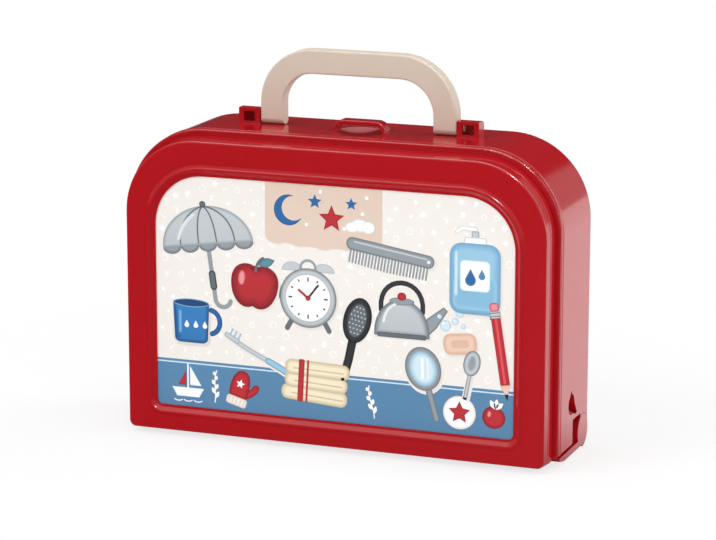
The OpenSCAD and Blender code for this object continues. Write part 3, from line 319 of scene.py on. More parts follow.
def mould_skin_group():
    """Ripple from the mould (a height) and handling marks (a roughness)."""
    tree, given, made = group_tree(
        "mould_skin", [("Ripple scale", 60.0), ("Grain scale", 1500.0), ("Grain share", 0.2),
                       ("Roughness", 0.2), ("Marks", 0.06)], ["Height", "Roughness"])
    ripple = noise(tree, given["Vector"], given["Ripple scale"], 1.0)
    grain = noise(tree, given["Vector"], given["Grain scale"], 2.0, 0.7)
    feed(tree, made["Height"], math_node(tree, "MULTIPLY_ADD", grain, given["Grain share"], ripple))
    # Handling marks: streaks from noise stretched along one axis
    stretch = add_node(tree, "Mapping", Vector=given["Vector"], Scale=STREAK_STRETCH, Rotation=STREAK_TURN)
    streaks = noise(tree, stretch.outputs["Vector"], STREAK_SCALE, 4.0, 0.65)
    patches = noise(tree, given["Vector"], PATCH_SCALE, 3.0)
    marks = math_node(tree, "MULTIPLY", streaks, patches)
    spread = math_node(tree, "MULTIPLY_ADD", marks, given["Marks"], given["Roughness"])
    feed(tree, made["Roughness"], spread)
    return tree


def colour_drift_group():
    """A slow drift between two shades, from 0 to 1."""
    tree, given, made = group_tree("colour_drift", [("Scale", 9.0), ("Strength", 1.0)], ["Mask"])
    slow = noise(tree, given["Vector"], given["Scale"], 3.0)
    centred = math_node(tree, "SUBTRACT", slow, 0.5)
    scaled = math_node(tree, "MULTIPLY_ADD", centred, given["Strength"], 0.5)
    feed(tree, made["Mask"], add_node(tree, "Clamp", Value=scaled).outputs[0])
    return tree


mould_skin = mould_skin_group()
colour_drift = colour_drift_group()
print("shared effects:", [g.name for g in bpy.data.node_groups])

# %% [markdown]
# Each finish is one function call: its two shades, its roughness, how strong the skin's
# ripple and grain are, and what is special to it, such as the clear barrel's transmission.
# Moulded edges are a little round, and catch a thin line of light.

# %% Finishes
DRIFT_SCALE = 9.0
DRIFT_STRENGTH = 1.6
BEVEL_SAMPLES = 4
FINISH = {}


def place_group(tree, group, values):
    """One shared effect in a material, laid out by the object's own coordinates."""
    node = add_node(tree, "Group", {"node_tree": group})
    for key, value in values.items():
        node.inputs[key].default_value = value
    feed(tree, node.inputs["Vector"], add_node(tree, "TexCoord").outputs["Object"])
    return node.outputs


def moulded(slot, shade, other_shade, roughness, ripple=60.0, bump=0.05, grain=0.1,
            grain_scale=1500.0, marks=0.08, metallic=0.0, transmission=0.0, ior=1.5,
            ink_from=None, soft_edge=0.35):
    """A plastic, metal or print finish from the two shared effects."""
    FINISH[slot], tree = blank_material(slot)
    skin = place_group(tree, mould_skin,
                       {"Ripple scale": ripple, "Grain scale": grain_scale, "Grain share": grain,
                        "Roughness": roughness, "Marks": marks})
    slow = place_group(tree, colour_drift, {"Scale": DRIFT_SCALE, "Strength": DRIFT_STRENGTH})
    shades = add_node(tree, "Mix", {"data_type": "RGBA"}, Factor=slow["Mask"], A=(*shade, 1),
                      B=(*other_shade, 1))
    if ink_from:
        # The print's own colours, with the same slow drift over them
        inks = add_node(tree, "Attribute", {"attribute_name": ink_from})
        shades = add_node(tree, "Mix", {"data_type": "RGBA", "blend_type": "MULTIPLY"}, Factor=1.0,
                          A=inks.outputs["Color"], B=shades.outputs["Result"])
    raised = add_node(tree, "Bump", Strength=bump, Distance=MM, Height=skin["Height"])
    if soft_edge:
        edge = add_node(tree, "Bevel", {"samples": BEVEL_SAMPLES}, Radius=soft_edge * MM)
        feed(tree, raised.inputs["Normal"], edge.outputs["Normal"])
    shader = add_node(tree, "BsdfPrincipled", Base_Color=shades.outputs["Result"],
                      Roughness=skin["Roughness"], Metallic=metallic, IOR=ior,
                      Transmission_Weight=transmission, Normal=raised.outputs["Normal"])
    add_node(tree, "OutputMaterial", Surface=shader.outputs[0])


moulded("red_plastic", (0.435, 0.006, 0.012), (0.402, 0.005, 0.009), 0.11, ripple=38, bump=0.035,
        grain=0.02, marks=0.06)
moulded("handle_plastic", (0.65, 0.56, 0.46), (0.62, 0.53, 0.432), 0.48, ripple=90, bump=0.10, grain=0.5,
        marks=0.12)
moulded("printed_card", (0.892, 0.852, 0.806), (0.878, 0.838, 0.792), 0.55, ripple=140, bump=0.02,
        grain=0.4, marks=0.05)
moulded("card_inks", (1.0, 1.0, 1.0), (0.97, 0.97, 0.97), 0.50, ripple=140, bump=0.02, grain=0.4,
        marks=0.05, ink_from="ink", soft_edge=0)
moulded("steel_pins", (0.55, 0.56, 0.57), (0.48, 0.49, 0.5), 0.28, grain=0.3, metallic=1.0)
moulded("grey_plastic", (0.33, 0.375, 0.395), (0.3, 0.342, 0.362), 0.30, bump=0.06)
moulded("dark_plastic", (0.03, 0.034, 0.038), (0.02, 0.023, 0.026), 0.38, bump=0.08)
moulded("blue_plastic", (0.02, 0.185, 0.52), (0.016, 0.16, 0.47), 0.26, bump=0.05)
moulded("screen_sticker", (0.38, 0.64, 0.8), (0.34, 0.6, 0.77), 0.12, bump=0.02, grain=0.02)
moulded("white_sticker", (0.86, 0.86, 0.84), (0.83, 0.83, 0.81), 0.35, bump=0.02)
moulded("clear_plastic", (0.96, 0.8, 0.815), (0.95, 0.78, 0.8), 0.06, bump=0.01, grain=0.0,
        transmission=1.0, ior=1.49, soft_edge=0)
moulded("plaster_film", (0.8, 0.6, 0.46), (0.76, 0.56, 0.425), 0.50, bump=0.25, grain=0.9,
        grain_scale=700)
print("finishes:", len(FINISH))

# %% [markdown]
# The solids that already have the right shape keep it, and only get their finish: the frame
# says which material slot each of them has.

# %% Finishes on the solids
slot_of = {s["node"]: s["material_slot"] for s in frame["record"]["subparts"]}


def solid_of(node):
    """The mesh object of one solid."""
    thing = frame["nodes"][node]
    return thing if isinstance(thing, bpy.types.Object) else bpy.data.objects[node]


def node_box(node):
    """Lowest and highest corner of one solid in the frame, in metres."""
    solid = solid_of(node)
    corners = [solid.matrix_world @ v.co for v in solid.data.vertices]
    return [Vector([pick(c[k] for c in corners) for k in range(3)]) for pick in (min, max)]


for node in frame["nodes"]:
    solid = solid_of(node)
    for place in solid.material_slots:
        place.material = FINISH[slot_of[node]]
    if not solid.material_slots:
        solid.data.materials.append(FINISH[slot_of[node]])
print("solids with a finish:", len(slot_of))

# %% [markdown]
# The card is printed: a cream ground with small white signs, a blue band along its foot, a
# paper tab at its top and a set of everyday things. A press lays ink on ink, so each shape is
# a very thin closed plate here, and a later plate lies over an earlier one. An outline is a
# list of points in millimetres, and a few functions make the plain ones.

# %% Outlines


def oval(rx, rz=None, at=(0, 0), start=0, end=360, steps=36):
    """Points along an ellipse, from one angle to another."""
    rz = rx if rz is None else rz
    count = steps if end - start >= 360 else steps + 1
    angles = [math.radians(start + (end - start) * i / steps) for i in range(count)]
    return [(at[0] + rx * math.cos(a), at[1] + rz * math.sin(a)) for a in angles]


def block(w, h, r=0.6, at=(0, 0), turn=0.0):
    """A rectangle with round corners about a point, then turned about the drawing's middle."""
    points = []
    for quarter, (sx, sz) in enumerate(((1, 1), (-1, 1), (-1, -1), (1, -1))):
        middle = (at[0] + sx * (w / 2 - r), at[1] + sz * (h / 2 - r))
        points += oval(r, at=middle, start=90 * quarter, end=90 * quarter + 90, steps=5)
    return moved(points, (0, 0), turn)


def star(r, waist=0.45, at=(0, 0)):
    """A star with five tips; waist is its inner radius as a share of the outer one."""
    angles = [math.radians(90 + 36 * i) for i in range(10)]
    radii = (r, r * waist) * 5
    return [(at[0] + q * math.cos(a), at[1] + q * math.sin(a)) for q, a in zip(radii, angles)]


def leaf(length, width, at=(0, 0), turn=0.0):
    """A pointed leaf that starts at a point and grows in a direction."""
    edge = [(length * i / 8, width / 2 * math.sin(math.pi * i / 8)) for i in range(9)]
    edge += [(x, -z) for x, z in edge[7:0:-1]]
    return moved(edge, at, turn)


def drop(r, at=(0, 0)):
    """A round drop with its tip up."""
    return oval(r, at=at, start=-210, end=30, steps=20) + [(at[0], at[1] + 2.1 * r)]


def moved(points, at, turn=0.0, size=1.0):
    """An outline scaled, turned in degrees and put in its place."""
    c, s = math.cos(math.radians(turn)) * size, math.sin(math.radians(turn)) * size
    return [(at[0] + x * c - z * s, at[1] + x * s + z * c) for x, z in points]


print("an oval has", len(oval(1)), "points, and a star", len(star(1)))

# %% [markdown]
# Thick lines and curves are outlines too. An outline can also shrink into itself, which the
# soft shading needs; where the full depth would fold it, it shrinks less.

# %% Lines, curves and inset outlines
MITRE_LIMIT = 1.6
LEAST_INSET = 0.05
FOLDED_SHARE = 0.8


def line(path, width):
    """Outline of a thick line through some points, with round ends."""
    runs = []
    for i in range(len(path)):
        (x0, z0), (x1, z1) = path[max(i - 1, 0)], path[min(i + 1, len(path) - 1)]
        runs.append(math.degrees(math.atan2(z1 - z0, x1 - x0)))
    half = width / 2
    right, left = ([oval(half, at=p, start=a + side, end=a + side, steps=1)[0]
                    for p, a in zip(path, runs)] for side in (-90, 90))
    head = oval(half, at=path[-1], start=runs[-1] - 90, end=runs[-1] + 90, steps=8)[1:-1]
    tail = oval(half, at=path[0], start=runs[0] + 90, end=runs[0] + 270, steps=8)[1:-1]
    return right + head + left[::-1] + tail


def curve(a, b, c, d, steps=14):
    """Points on a curve that leaves a towards b and reaches d from c."""
    points = []
    for i in range(steps + 1):
        t = i / steps
        k = ((1 - t) ** 3, 3 * t * (1 - t) ** 2, 3 * t * t * (1 - t), t ** 3)
        points.append(tuple(sum(f * p[j] for f, p in zip(k, (a, b, c, d))) for j in (0, 1)))
    return points


def twice_area(points):
    """More than 0 for an outline that runs against the clock."""
    return sum(x0 * z1 - x1 * z0 for (x0, z0), (x1, z1) in zip(points, points[1:] + points[:1]))


def inset(points, depth):
    """The outline moved inwards along its corners' normals, or outwards for less than 0."""
    ring = []
    for i, (x, z) in enumerate(points):
        (x0, z0), (x1, z1) = points[i - 1], points[(i + 1) % len(points)]
        ax, az, bx, bz = x - x0, z - z0, x1 - x, z1 - z
        la, lb = math.hypot(ax, az) or 1, math.hypot(bx, bz) or 1
        nx, nz = -(az / la + bz / lb), ax / la + bx / lb
        size = math.hypot(nx, nz) or 1
        reach = depth * min(2 / max(size, 0.2), MITRE_LIMIT) / size
        ring.append((x + nx * reach, z + nz * reach))
    return ring


def soft_ring(points, depth):
    """The inset outline, less deep where the full depth would fold it over itself."""
    while True:
        ring = inset(points, depth)
        edges = zip(points, points[1:] + points[:1], ring, ring[1:] + ring[:1])
        folded = any((b[0] - a[0]) * (d[0] - c[0]) + (b[1] - a[1]) * (d[1] - c[1]) < 0
                     for a, b, c, d in edges)
        if depth < LEAST_INSET or not folded:
            return ring
        depth *= FOLDED_SHARE


print("a square of 10 mm has twice the area", twice_area(block(10, 10, 0)))

# %% [markdown]
# A sheet collects plates. A plate's colour may run from its edge to its middle, or from its top
# to its foot, which gives soft shading. A pen draws one thing on a sheet, turned and placed,
# and lifts each plate a little over the last one.

# %% Sheets and pens
LEVEL = 0.016
BASE = 0.01
SHADOW_LEVEL = 2.5
SHADOW_SPREAD = 1.5
SHADOW_SHIFT = (0.9, -1.1)
PRINTS = []


class Sheet:
    """Collects the plates of one print, drawn in mm from the middle of its lower edge."""

    def __init__(self):
        self.verts, self.faces, self.shades = [], [], []

    def plate(self, points, colour, level, edge=None, soft=0.0, foot=0.0):
        """One closed plate; soft is how far the edge's colour runs in, foot darkens its foot."""
        points = points if twice_area(points) > 0 else points[::-1]
        edge = edge or colour
        low, high = min(z for _, z in points), max(z for _, z in points)
        rings = [(points, BASE, edge), (points, -level * LEVEL, edge)]
        if soft:
            rings.append((soft_ring(points, soft), -level * LEVEL, colour))
        first, count = len(self.verts), len(points)
        for ring, y, shade in rings:
            for x, z in ring:
                fall = 1 + foot * (high - z) / max(high - low, 0.1)
                self.verts.append((x, y, z))
                self.shades.append(tuple(v * fall for v in shade))
        for ring in range(len(rings) - 1):
            a, b = first + ring * count, first + (ring + 1) * count
            self.faces += [(a + i, a + (i + 1) % count, b + (i + 1) % count, b + i) for i in range(count)]
        self.faces.append(tuple(first + i for i in reversed(range(count))))
        self.faces.append(tuple(first + (len(rings) - 1) * count + i for i in range(count)))


class Pen:
    """Draws one motif on a sheet, turned and placed; each plate lies over the last one."""

    def __init__(self, sheet, at, turn=0.0, size=1.0, level=3):
        self.sheet, self.at, self.turn, self.size, self.level = sheet, at, turn, size, level

    def put(self, points, colour, edge=None, soft=0.0, foot=0.0, up=1):
        """One plate, lifted over the last one by some levels."""
        self.level += up
        self.sheet.plate(moved(points, self.at, self.turn, self.size), colour, self.level, edge,
                         soft * self.size, foot)

    def many(self, outlines, colour, edge=None, soft=0.0):
        """Plates that share one level."""
        for k, points in enumerate(outlines):
            self.put(points, colour, edge, soft, up=0 if k else 1)

    def shadow(self, points):
        """A soft shadow of an outline on the cream ground."""
        placed = moved(points, self.at, self.turn, self.size)
        wide = inset(placed if twice_area(placed) > 0 else placed[::-1], -SHADOW_SPREAD)
        wide = [(x + SHADOW_SHIFT[0], z + SHADOW_SHIFT[1]) for x, z in wide]
        self.sheet.plate(wide, CREAM_SHADOW, SHADOW_LEVEL, CREAM, 2 * SHADOW_SPREAD)


def print_on(name, sheet, place, body="back_shell"):
    """One piece made of a sheet: place turns its points, in metres, into points of the case."""
    piece = add_mesh(name, [place(Vector(v) * MM) for v in sheet.verts], sheet.faces)
    shades = piece.data.color_attributes.new("ink", "FLOAT_COLOR", "POINT")
    for k, shade in enumerate(sheet.shades):
        shades.data[k].color = (*[max(v, 0) for v in shade], 1)
    piece.data.materials.append(FINISH["card_inks"])
    PRINTS.append(name)
    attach(piece, body)


print("a plate is", LEVEL, "mm thick")

# %% [markdown]
# The inks are few, as on a real print. Each is written as it shows on a screen.

# %% Inks
SHADOW_DARK = 0.16


def ink(r, g, b):
    """A colour written as 0 to 255 on a screen, in linear light."""
    return tuple((v / 255 / 12.92) if v < 11 else ((v / 255 + 0.055) / 1.055) ** 2.4 for v in (r, g, b))


def faces_in(draw):
    """How many faces one thing is drawn with."""
    sketch = Sheet()
    draw(Pen(sketch, (0, 0)))
    return len(sketch.faces)


CREAM, PAPER, WHITE = (0.898, 0.858, 0.811), ink(229, 206, 189), ink(255, 255, 255)
CREAM_SHADOW = tuple(v * (1 - SHADOW_DARK) for v in CREAM)
BAND, ICE = ink(88, 138, 178), ink(214, 235, 245)
PALE_BLUE, DEEP_BLUE = ink(156, 203, 229), ink(34, 104, 170)
GREY, COAL = ink(150, 160, 166), ink(30, 31, 34)
PALE_GREY, DEEP_GREY = ink(200, 207, 211), ink(104, 113, 119)
CHERRY, DEEP_RED = ink(196, 36, 48), ink(138, 18, 30)
PINK, PEACH = ink(236, 150, 156), ink(240, 206, 186)
print("the band's blue in linear light:", [round(v, 3) for v in BAND])

# %% [markdown]
# Each function draws one thing around its own middle: shadow, body, shading, highlight and
# small parts. The numbers in a drawing are millimetres. Things of the kitchen and the hall
# come first.

# %% Kitchen and hall


def umbrella(pen):
    shaft = [(0, 20), (0, -34)] + oval(5, at=(5, -34), start=180, end=340, steps=12)
    canopy = oval(30, 24, start=0, end=180, steps=30)
    pen.shadow(canopy)
    pen.put(line(shaft, 2.8), GREY, DEEP_GREY, 1.0)
    for k in (-2, -1, 0, 1, 2):
        pen.put(oval(6, 4.2, at=(12 * k, 0)), GREY, DEEP_GREY, 2.0, up=1 if k == -2 else 0.1)
    pen.put(canopy, PALE_GREY, GREY, 5.0, foot=-0.10)
    ribs = [curve((0, 24), (k * 4, 21), (k * 6, 12), (k * 6, 1.5)) for k in (-3, -1, 1, 3)]
    pen.many([line(rib, 0.9) for rib in ribs], DEEP_GREY)
    gloss = curve((-7, 19), (-12, 16), (-17, 11), (-19, 5))
    pen.put(line(gloss, 2.6), ink(228, 233, 236), PALE_GREY, 1.0)
    pen.put(oval(2.0, at=(0, 25)), DEEP_GREY, COAL, 0.8)
    pen.put(block(4.4, 12, 2, at=(0, -22)), DEEP_GREY, COAL, 1.2)


def mug(pen):
    body = [(-12, 12), (-11, -10)] + oval(4, 3, at=(-7, -10), start=180, end=270, steps=6)
    body += oval(4, 3, at=(7, -10), start=270, end=360, steps=6) + [(12, 12)]
    pen.shadow(body)
    grip = oval(7, 7.5, at=(12, 1), start=-75, end=80, steps=16)
    pen.put(line(grip, 3.2), DEEP_BLUE, ink(20, 72, 128), 1.2)
    pen.put(body, ink(48, 128, 196), ink(18, 76, 136), 4.0, foot=-0.10)
    pen.put(oval(12, 2.6, at=(0, 12)), ink(20, 72, 128), PALE_BLUE, 0.9)
    pen.put(block(2.4, 15, 1.2, at=(-7.4, 0)), ink(120, 184, 228), ink(48, 128, 196), 0.9)
    pen.many([drop(1.5, at=(x, -2)) for x in (-3, 3, 9)], WHITE)


def apple(pen):
    skin = curve((0, 11), (-5, 15), (-17, 13), (-16, 0))
    skin += curve((-16, 0), (-15, -12), (-7, -18), (0, -14))[1:]
    skin += [(-x, z) for x, z in skin[-2:0:-1]]
    pen.shadow(skin)
    pen.put(skin, CHERRY, DEEP_RED, 6.0, foot=-0.14)
    pen.put(oval(5, 2, at=(0, 10.2)), DEEP_RED, CHERRY, 1.0)
    pen.put(line(curve((0, 9), (0, 13), (1, 16), (4, 18)), 1.6), DEEP_GREY)
    pen.put(leaf(12, 6, at=(1, 13), turn=24), ink(92, 146, 160), ink(60, 110, 130), 1.2)
    pen.put(oval(2.6, 5.0, at=(-9, 3)), PINK, CHERRY, 1.6)


def clock(pen):
    for side in (-1, 1):
        pen.put(line([(side * 10, -13), (side * 14, -20)], 3.4), DEEP_GREY, up=1 if side < 0 else 0)
        pen.put(oval(7, 5.4, at=(side * 10.5, 17), start=0, end=180), PALE_GREY, DEEP_GREY, 1.8, up=0)
    pen.put(line(oval(5, 5, at=(0, 19), start=0, end=180, steps=12), 1.6), GREY)
    pen.shadow(oval(19))
    pen.put(oval(19), PALE_GREY, DEEP_GREY, 2.2, foot=-0.1)
    pen.put(oval(15.6), WHITE, GREY, 1.2)
    lengths = [2.6 if hour % 3 == 0 else 1.5 for hour in range(12)]
    pen.many([block(0.9, long, 0.3, at=(0, 13.2 - long / 2), turn=30 * hour)
              for hour, long in enumerate(lengths)], COAL)
    pen.put(block(1.6, 9, 0.7, at=(0, 4), turn=52), CHERRY)
    pen.put(block(1.2, 12, 0.5, at=(0, 5.4), turn=-38), COAL)
    pen.put(oval(1.7), CHERRY, DEEP_RED, 0.7)


def kettle(pen):
    body = [(-20, -14), (20, -14)] + oval(20, 24, at=(0, -12), start=8, end=172, steps=24)
    pen.shadow(body)
    pen.put(line(curve((-15, 4), (-18, 30), (18, 30), (15, 4)), 3.4), ink(56, 58, 62), COAL, 1.1)
    pen.put([(15, -8), (18, 0), (30, 9), (33, 6.5), (25, -6), (19, -12)], GREY, DEEP_GREY, 1.4)
    pen.put(body, PALE_GREY, DEEP_GREY, 5.5, foot=-0.16)
    pen.put(block(36, 3.4, 1.6, at=(0, -13.4)), DEEP_GREY, ink(80, 86, 92), 0.9)
    pen.put(oval(9, 2.6, at=(0, 10.6)), GREY, DEEP_GREY, 1.0)
    pen.put(oval(3.2, 2.8, at=(0, 14)), CHERRY, DEEP_RED, 1.3)
    pen.put(line(curve((-13, -4), (-12, 3), (-9, 6), (-5, 8)), 2.4), ink(236, 240, 242), PALE_GREY, 0.8)


def spoon(pen):
    pen.shadow(line([(0, 4), (0, -30)], 3.0))
    pen.put(line([(0, 6), (0.5, -12), (0, -30)], 3.0), PALE_GREY, DEEP_GREY, 1.1)
    pen.put(oval(6.6, 9.8, at=(0, 13)), PALE_GREY, DEEP_GREY, 2.2)
    pen.put(oval(4.2, 7.0, at=(0, 13)), GREY, PALE_GREY, 2.4)


def berry(pen):
    pen.put(oval(8.4, 8.0), CHERRY, DEEP_RED, 2.8)
    pen.many([leaf(7.5, 3.6, at=(0, 6), turn=turn) for turn in (50, 90, 130)], WHITE)
    pen.put(oval(1.5, 2.4, at=(-3.6, 1.6)), PINK, CHERRY, 0.8)


print("faces in the umbrella:", faces_in(umbrella))

# %% [markdown]
# Things for washing and combing. A thing with a row of like parts, such as a comb's teeth or a
# brush's tips, draws them on one level.

# %% Washing


def brush(pen):
    pen.shadow(block(13, 30, 6.4, at=(0, 14)))
    pen.put(line([(0, 2), (0.6, -14), (0, -30)], 6.0), ink(52, 54, 58), COAL, 2.0)
    pen.put(oval(10, 16, at=(0, 14)), ink(58, 60, 64), COAL, 3.4)
    pen.put(oval(6.6, 12, at=(0, 14)), DEEP_GREY, ink(70, 74, 78), 1.2)
    tips = [(2.5 * (col - 0.5 * (row % 2)), 5 + 3 * row)
            for row in range(7) for col in range(-2 + row % 2, 3)]
    pen.many([oval(0.6, at=(x, z), steps=8) for x, z in tips
              if (x / 5.6) ** 2 + ((z - 14) / 10.6) ** 2 < 1], PALE_GREY)
    pen.put(oval(1.3, at=(0, -29)), CREAM)


def comb(pen):
    pen.shadow(block(64, 9, 4, at=(0, 4)))
    lengths = [11.5 - 0.10 * abs(k - 12) for k in range(25)]
    pen.many([block(1.2, long, 0.55, at=(-28 + 2.33 * k, -long / 2 + 1))
              for k, long in enumerate(lengths)], GREY, DEEP_GREY, 0.3)
    pen.put(block(64, 9, 4.2, at=(0, 4)), GREY, DEEP_GREY, 1.6)
    pen.put(block(54, 1.6, 0.8, at=(0, 5.6)), PALE_GREY, GREY, 0.5)
    pen.put(oval(1.6, at=(28, 4)), CREAM, DEEP_GREY, 0.5)


def bottle(pen):
    body = block(34, 46, 8, at=(0, -6))
    pen.shadow(body)
    pen.put(line([(0, 26), (-9, 26.5), (-12, 24)], 3.2), WHITE, PALE_GREY, 1.0)
    pen.put(block(5, 8, 1.2, at=(0, 21)), PALE_GREY, GREY, 1.4)
    pen.put(block(15, 6, 1.6, at=(0, 18)), WHITE, PALE_GREY, 1.6)
    pen.put(body, PALE_BLUE, ink(110, 170, 208), 5.0, foot=-0.08)
    pen.put(block(29, 22, 5, at=(0, -15)), ink(136, 190, 221), PALE_BLUE, 3.0)
    pen.put(block(20, 20, 3, at=(0, -4)), WHITE, ICE, 1.4)
    pen.put(drop(3.6, at=(-3, -7)), DEEP_BLUE, BAND, 1.2)
    pen.put(drop(2.2, at=(4.6, -4)), BAND, up=0)
    pen.put(block(2.6, 30, 1.3, at=(-12.6, -3)), ICE, PALE_BLUE, 1.0)


def soap(pen):
    pen.shadow(block(26, 16, 6))
    pen.put(block(26, 16, 6), PEACH, ink(222, 176, 152), 3.4)
    pen.put(block(15, 7.4, 3), ink(228, 186, 164), PEACH, 1.4)
    bubbles = ((-10, 14, 4.2), (-2, 17, 2.6), (4, 13, 1.8), (-14, 21, 1.9), (2, 23, 3.2))
    for k, (x, z, r) in enumerate(bubbles):
        pen.put(oval(r, at=(x, z)), ICE, ink(150, 196, 222), 0.9, up=1 if k == 0 else 0)
        pen.put(oval(r * 0.24, at=(x - r * 0.35, z + r * 0.4), steps=10), WHITE, up=0.5)
        pen.level -= 0.5


def towel(pen):
    for k, (w, z) in enumerate(((42, -9), (40, -1), (41, 7))):
        turn = 1.2 * (k - 1)
        fold = block(w, 9.4, 4.0, at=(0.6 * k, z), turn=turn)
        pen.put(fold, ink(247, 236, 206), ink(206, 188, 146), 2.6)
        pen.put(block(w - 9, 0.8, 0.3, at=(2, z - 0.6), turn=turn), ink(214, 196, 156))
    pen.put(block(3.6, 26, 0.8, at=(-9, -1)), CHERRY, DEEP_RED, 0.8)
    pen.put(block(1.2, 26, 0.4, at=(-5, -1)), CHERRY)


def mirror(pen):
    pen.shadow(oval(15, 18, at=(0, 12)))
    pen.put(line([(0, -6), (0, -30)], 5.4), GREY, DEEP_GREY, 1.8)
    pen.put(oval(15, 18, at=(0, 12)), GREY, DEEP_GREY, 2.4)
    pen.put(oval(11.6, 14.4, at=(0, 12)), ICE, ink(140, 186, 212), 4.0)
    pen.many([block(w, 17, 0.5, at=(x, 12), turn=-14) for x, w in ((-3.5, 2.6), (1.2, 1.2))],
             WHITE, ICE, 0.5)


def toothbrush(pen):
    spine_line = curve((0, -44), (3, -20), (-3, 0), (0, 34))
    pen.shadow(line(spine_line, 4.6))
    pen.put(line(spine_line, 4.6), PALE_GREY, GREY, 1.5)
    pen.put(line(spine_line[2:7], 6.4), PALE_BLUE, BAND, 1.6)
    for k in range(6):
        bristle = block(6.4, 1.7, 0.5, at=(5.2, 22 + 2.3 * k))
        pen.put(bristle, WHITE if k % 2 else PALE_BLUE, GREY, 0.3, up=0 if k else 1)
    pen.put(block(5, 17, 2.2, at=(0, 28)), PALE_GREY, GREY, 1.4)


print("faces in the comb:", faces_in(comb))

# %% [markdown]
# A pencil, and the small signs that stand on the blue band.

# %% Desk and band


def pencil(pen):
    pen.shadow(block(8, 58, 1))
    pen.put([(-4, -28), (4, -28), (0.9, -38), (-0.9, -38)], PEACH, ink(214, 170, 140), 1.0)
    pen.put([(-1.7, -35.4), (1.7, -35.4), (0, -41)], COAL)
    pen.put(block(8, 56, 0.5), CHERRY, DEEP_RED, 1.4)
    pen.put(block(2.2, 54, 0.3), ink(226, 82, 88), CHERRY, 0.7)
    pen.put(block(8.4, 6, 0.5, at=(0, 29)), PALE_GREY, DEEP_GREY, 1.6)
    pen.many([block(8.4, 0.7, 0.3, at=(0, z)) for z in (27.6, 30.4)], DEEP_GREY)
    pen.put(block(7.6, 7, 2.4, at=(0, 35)), PINK, CHERRY, 1.6)


def mitten(pen):
    hand = curve((-8, -6), (-11, 8), (-8, 19), (0, 19)) + curve((0, 19), (7, 19), (10, 10), (8, -6))[1:]
    thumb = line(curve((6, -2), (10, 1), (13, 4), (14, 8)), 6.4)
    pen.put(thumb, CHERRY, DEEP_RED, 2.0)
    pen.put(hand, CHERRY, DEEP_RED, 3.4)
    pen.put(block(19, 8, 2.4, at=(0, -9)), CREAM, PAPER, 1.6)
    pen.many([block(0.7, 6, 0.3, at=(-7 + 3.5 * k, -9)) for k in range(5)], PAPER)
    pen.put(star(4.2, at=(-0.5, 7)), WHITE)


def boat(pen):
    pen.put([(-13, -4), (13, -4), (9, -11), (-9, -11)], WHITE, ICE, 1.0)
    pen.put(line([(0, -4), (0, 14)], 1.2), WHITE)
    pen.put([(1.6, -2), (11, -2), (1.6, 13)], WHITE, ICE, 1.0)
    pen.put([(-1.6, -2), (-8, -2), (-1.6, 9)], CHERRY, DEEP_RED, 0.8, up=0)
    for k in (-1, 0, 1):
        pen.put(line(oval(3.4, 1.6, at=(8 * k, -13), start=200, end=340, steps=8), 0.8), WHITE, up=0)


def sprig(pen):
    stem = curve((0, -14), (2, -6), (-2, 4), (2, 14))
    pen.put(line(stem, 0.9), WHITE)
    pen.many([leaf(8 - 0.7 * k, 3.4, at=stem[2 * k], turn=62 if k % 2 else 118)
              for k in range(1, 7)], WHITE)


def badge(pen):
    pen.put(oval(12.5), CREAM, PAPER, 0.8)
    pen.put(oval(10.8), WHITE)
    pen.put(star(8.6, waist=0.5), CHERRY, DEEP_RED, 1.2)


print("faces in the boat:", faces_in(boat))

# %% [markdown]
# The ground goes down first, with the small white signs scattered at even distances by a
# seeded random choice, and the blue band over it.

# %% Ground and band
CARD_LAP = 2.0
card_low, card_high = node_box("print_card")
CARD_W = (card_high.x - card_low.x) / MM - 2 * CARD_LAP
CARD_H = (card_high.z - card_low.z) / MM - 2 * CARD_LAP
CARD_CORNER, CARD_ROUND = 34, 31
BAND_H, BAND_CORNER = 33.0, 4.0
SIGN_SEED, SIGN_TRIES = 7, 5200
SIGN_GAP, SIGN_EDGE, SIGN_RADII = 8.2, 4, (2.0, 3.1)


def sign(kind, r):
    """One small white sign of the ground: dot, open ring, star, drop, two leaves or wave."""
    return (
        [oval(r * 0.45, steps=12)],
        [line(oval(r * 0.8, start=20, end=330, steps=14), 0.55)],
        [star(r, waist=0.5)],
        [drop(r * 0.55)],
        [leaf(1.8 * r, r * 0.8, at=(-r, 0), turn=30), leaf(1.3 * r, r * 0.6, at=(-r, 0), turn=-20)],
        [line(curve((-r, 0), (-r / 2, r), (r / 2, -r), (r, 0), 8), 0.6)],
    )[kind]


def scatter_signs(sheet):
    """Signs of random kinds at even distances, inside the card's round corners."""
    chance = random.Random(SIGN_SEED)
    taken = []
    for _ in range(SIGN_TRIES):
        x = chance.uniform(-CARD_W / 2 + SIGN_EDGE, CARD_W / 2 - SIGN_EDGE)
        z = chance.uniform(BAND_H + 3, CARD_H - SIGN_EDGE)
        into_corner = (max(abs(x) - (CARD_W / 2 - CARD_CORNER), 0), max(z - (CARD_H - CARD_CORNER), 0))
        crowded = any((x - a) ** 2 + (z - b) ** 2 < SIGN_GAP ** 2 for a, b in taken)
        if math.hypot(*into_corner) > CARD_ROUND or crowded:
            continue
        taken.append((x, z))
        kind, turn, r = chance.randrange(6), chance.uniform(0, 360), chance.uniform(*SIGN_RADII)
        for points in sign(kind, r):
            sheet.plate(moved(points, (x, z), turn), WHITE, 1)
    return len(taken)


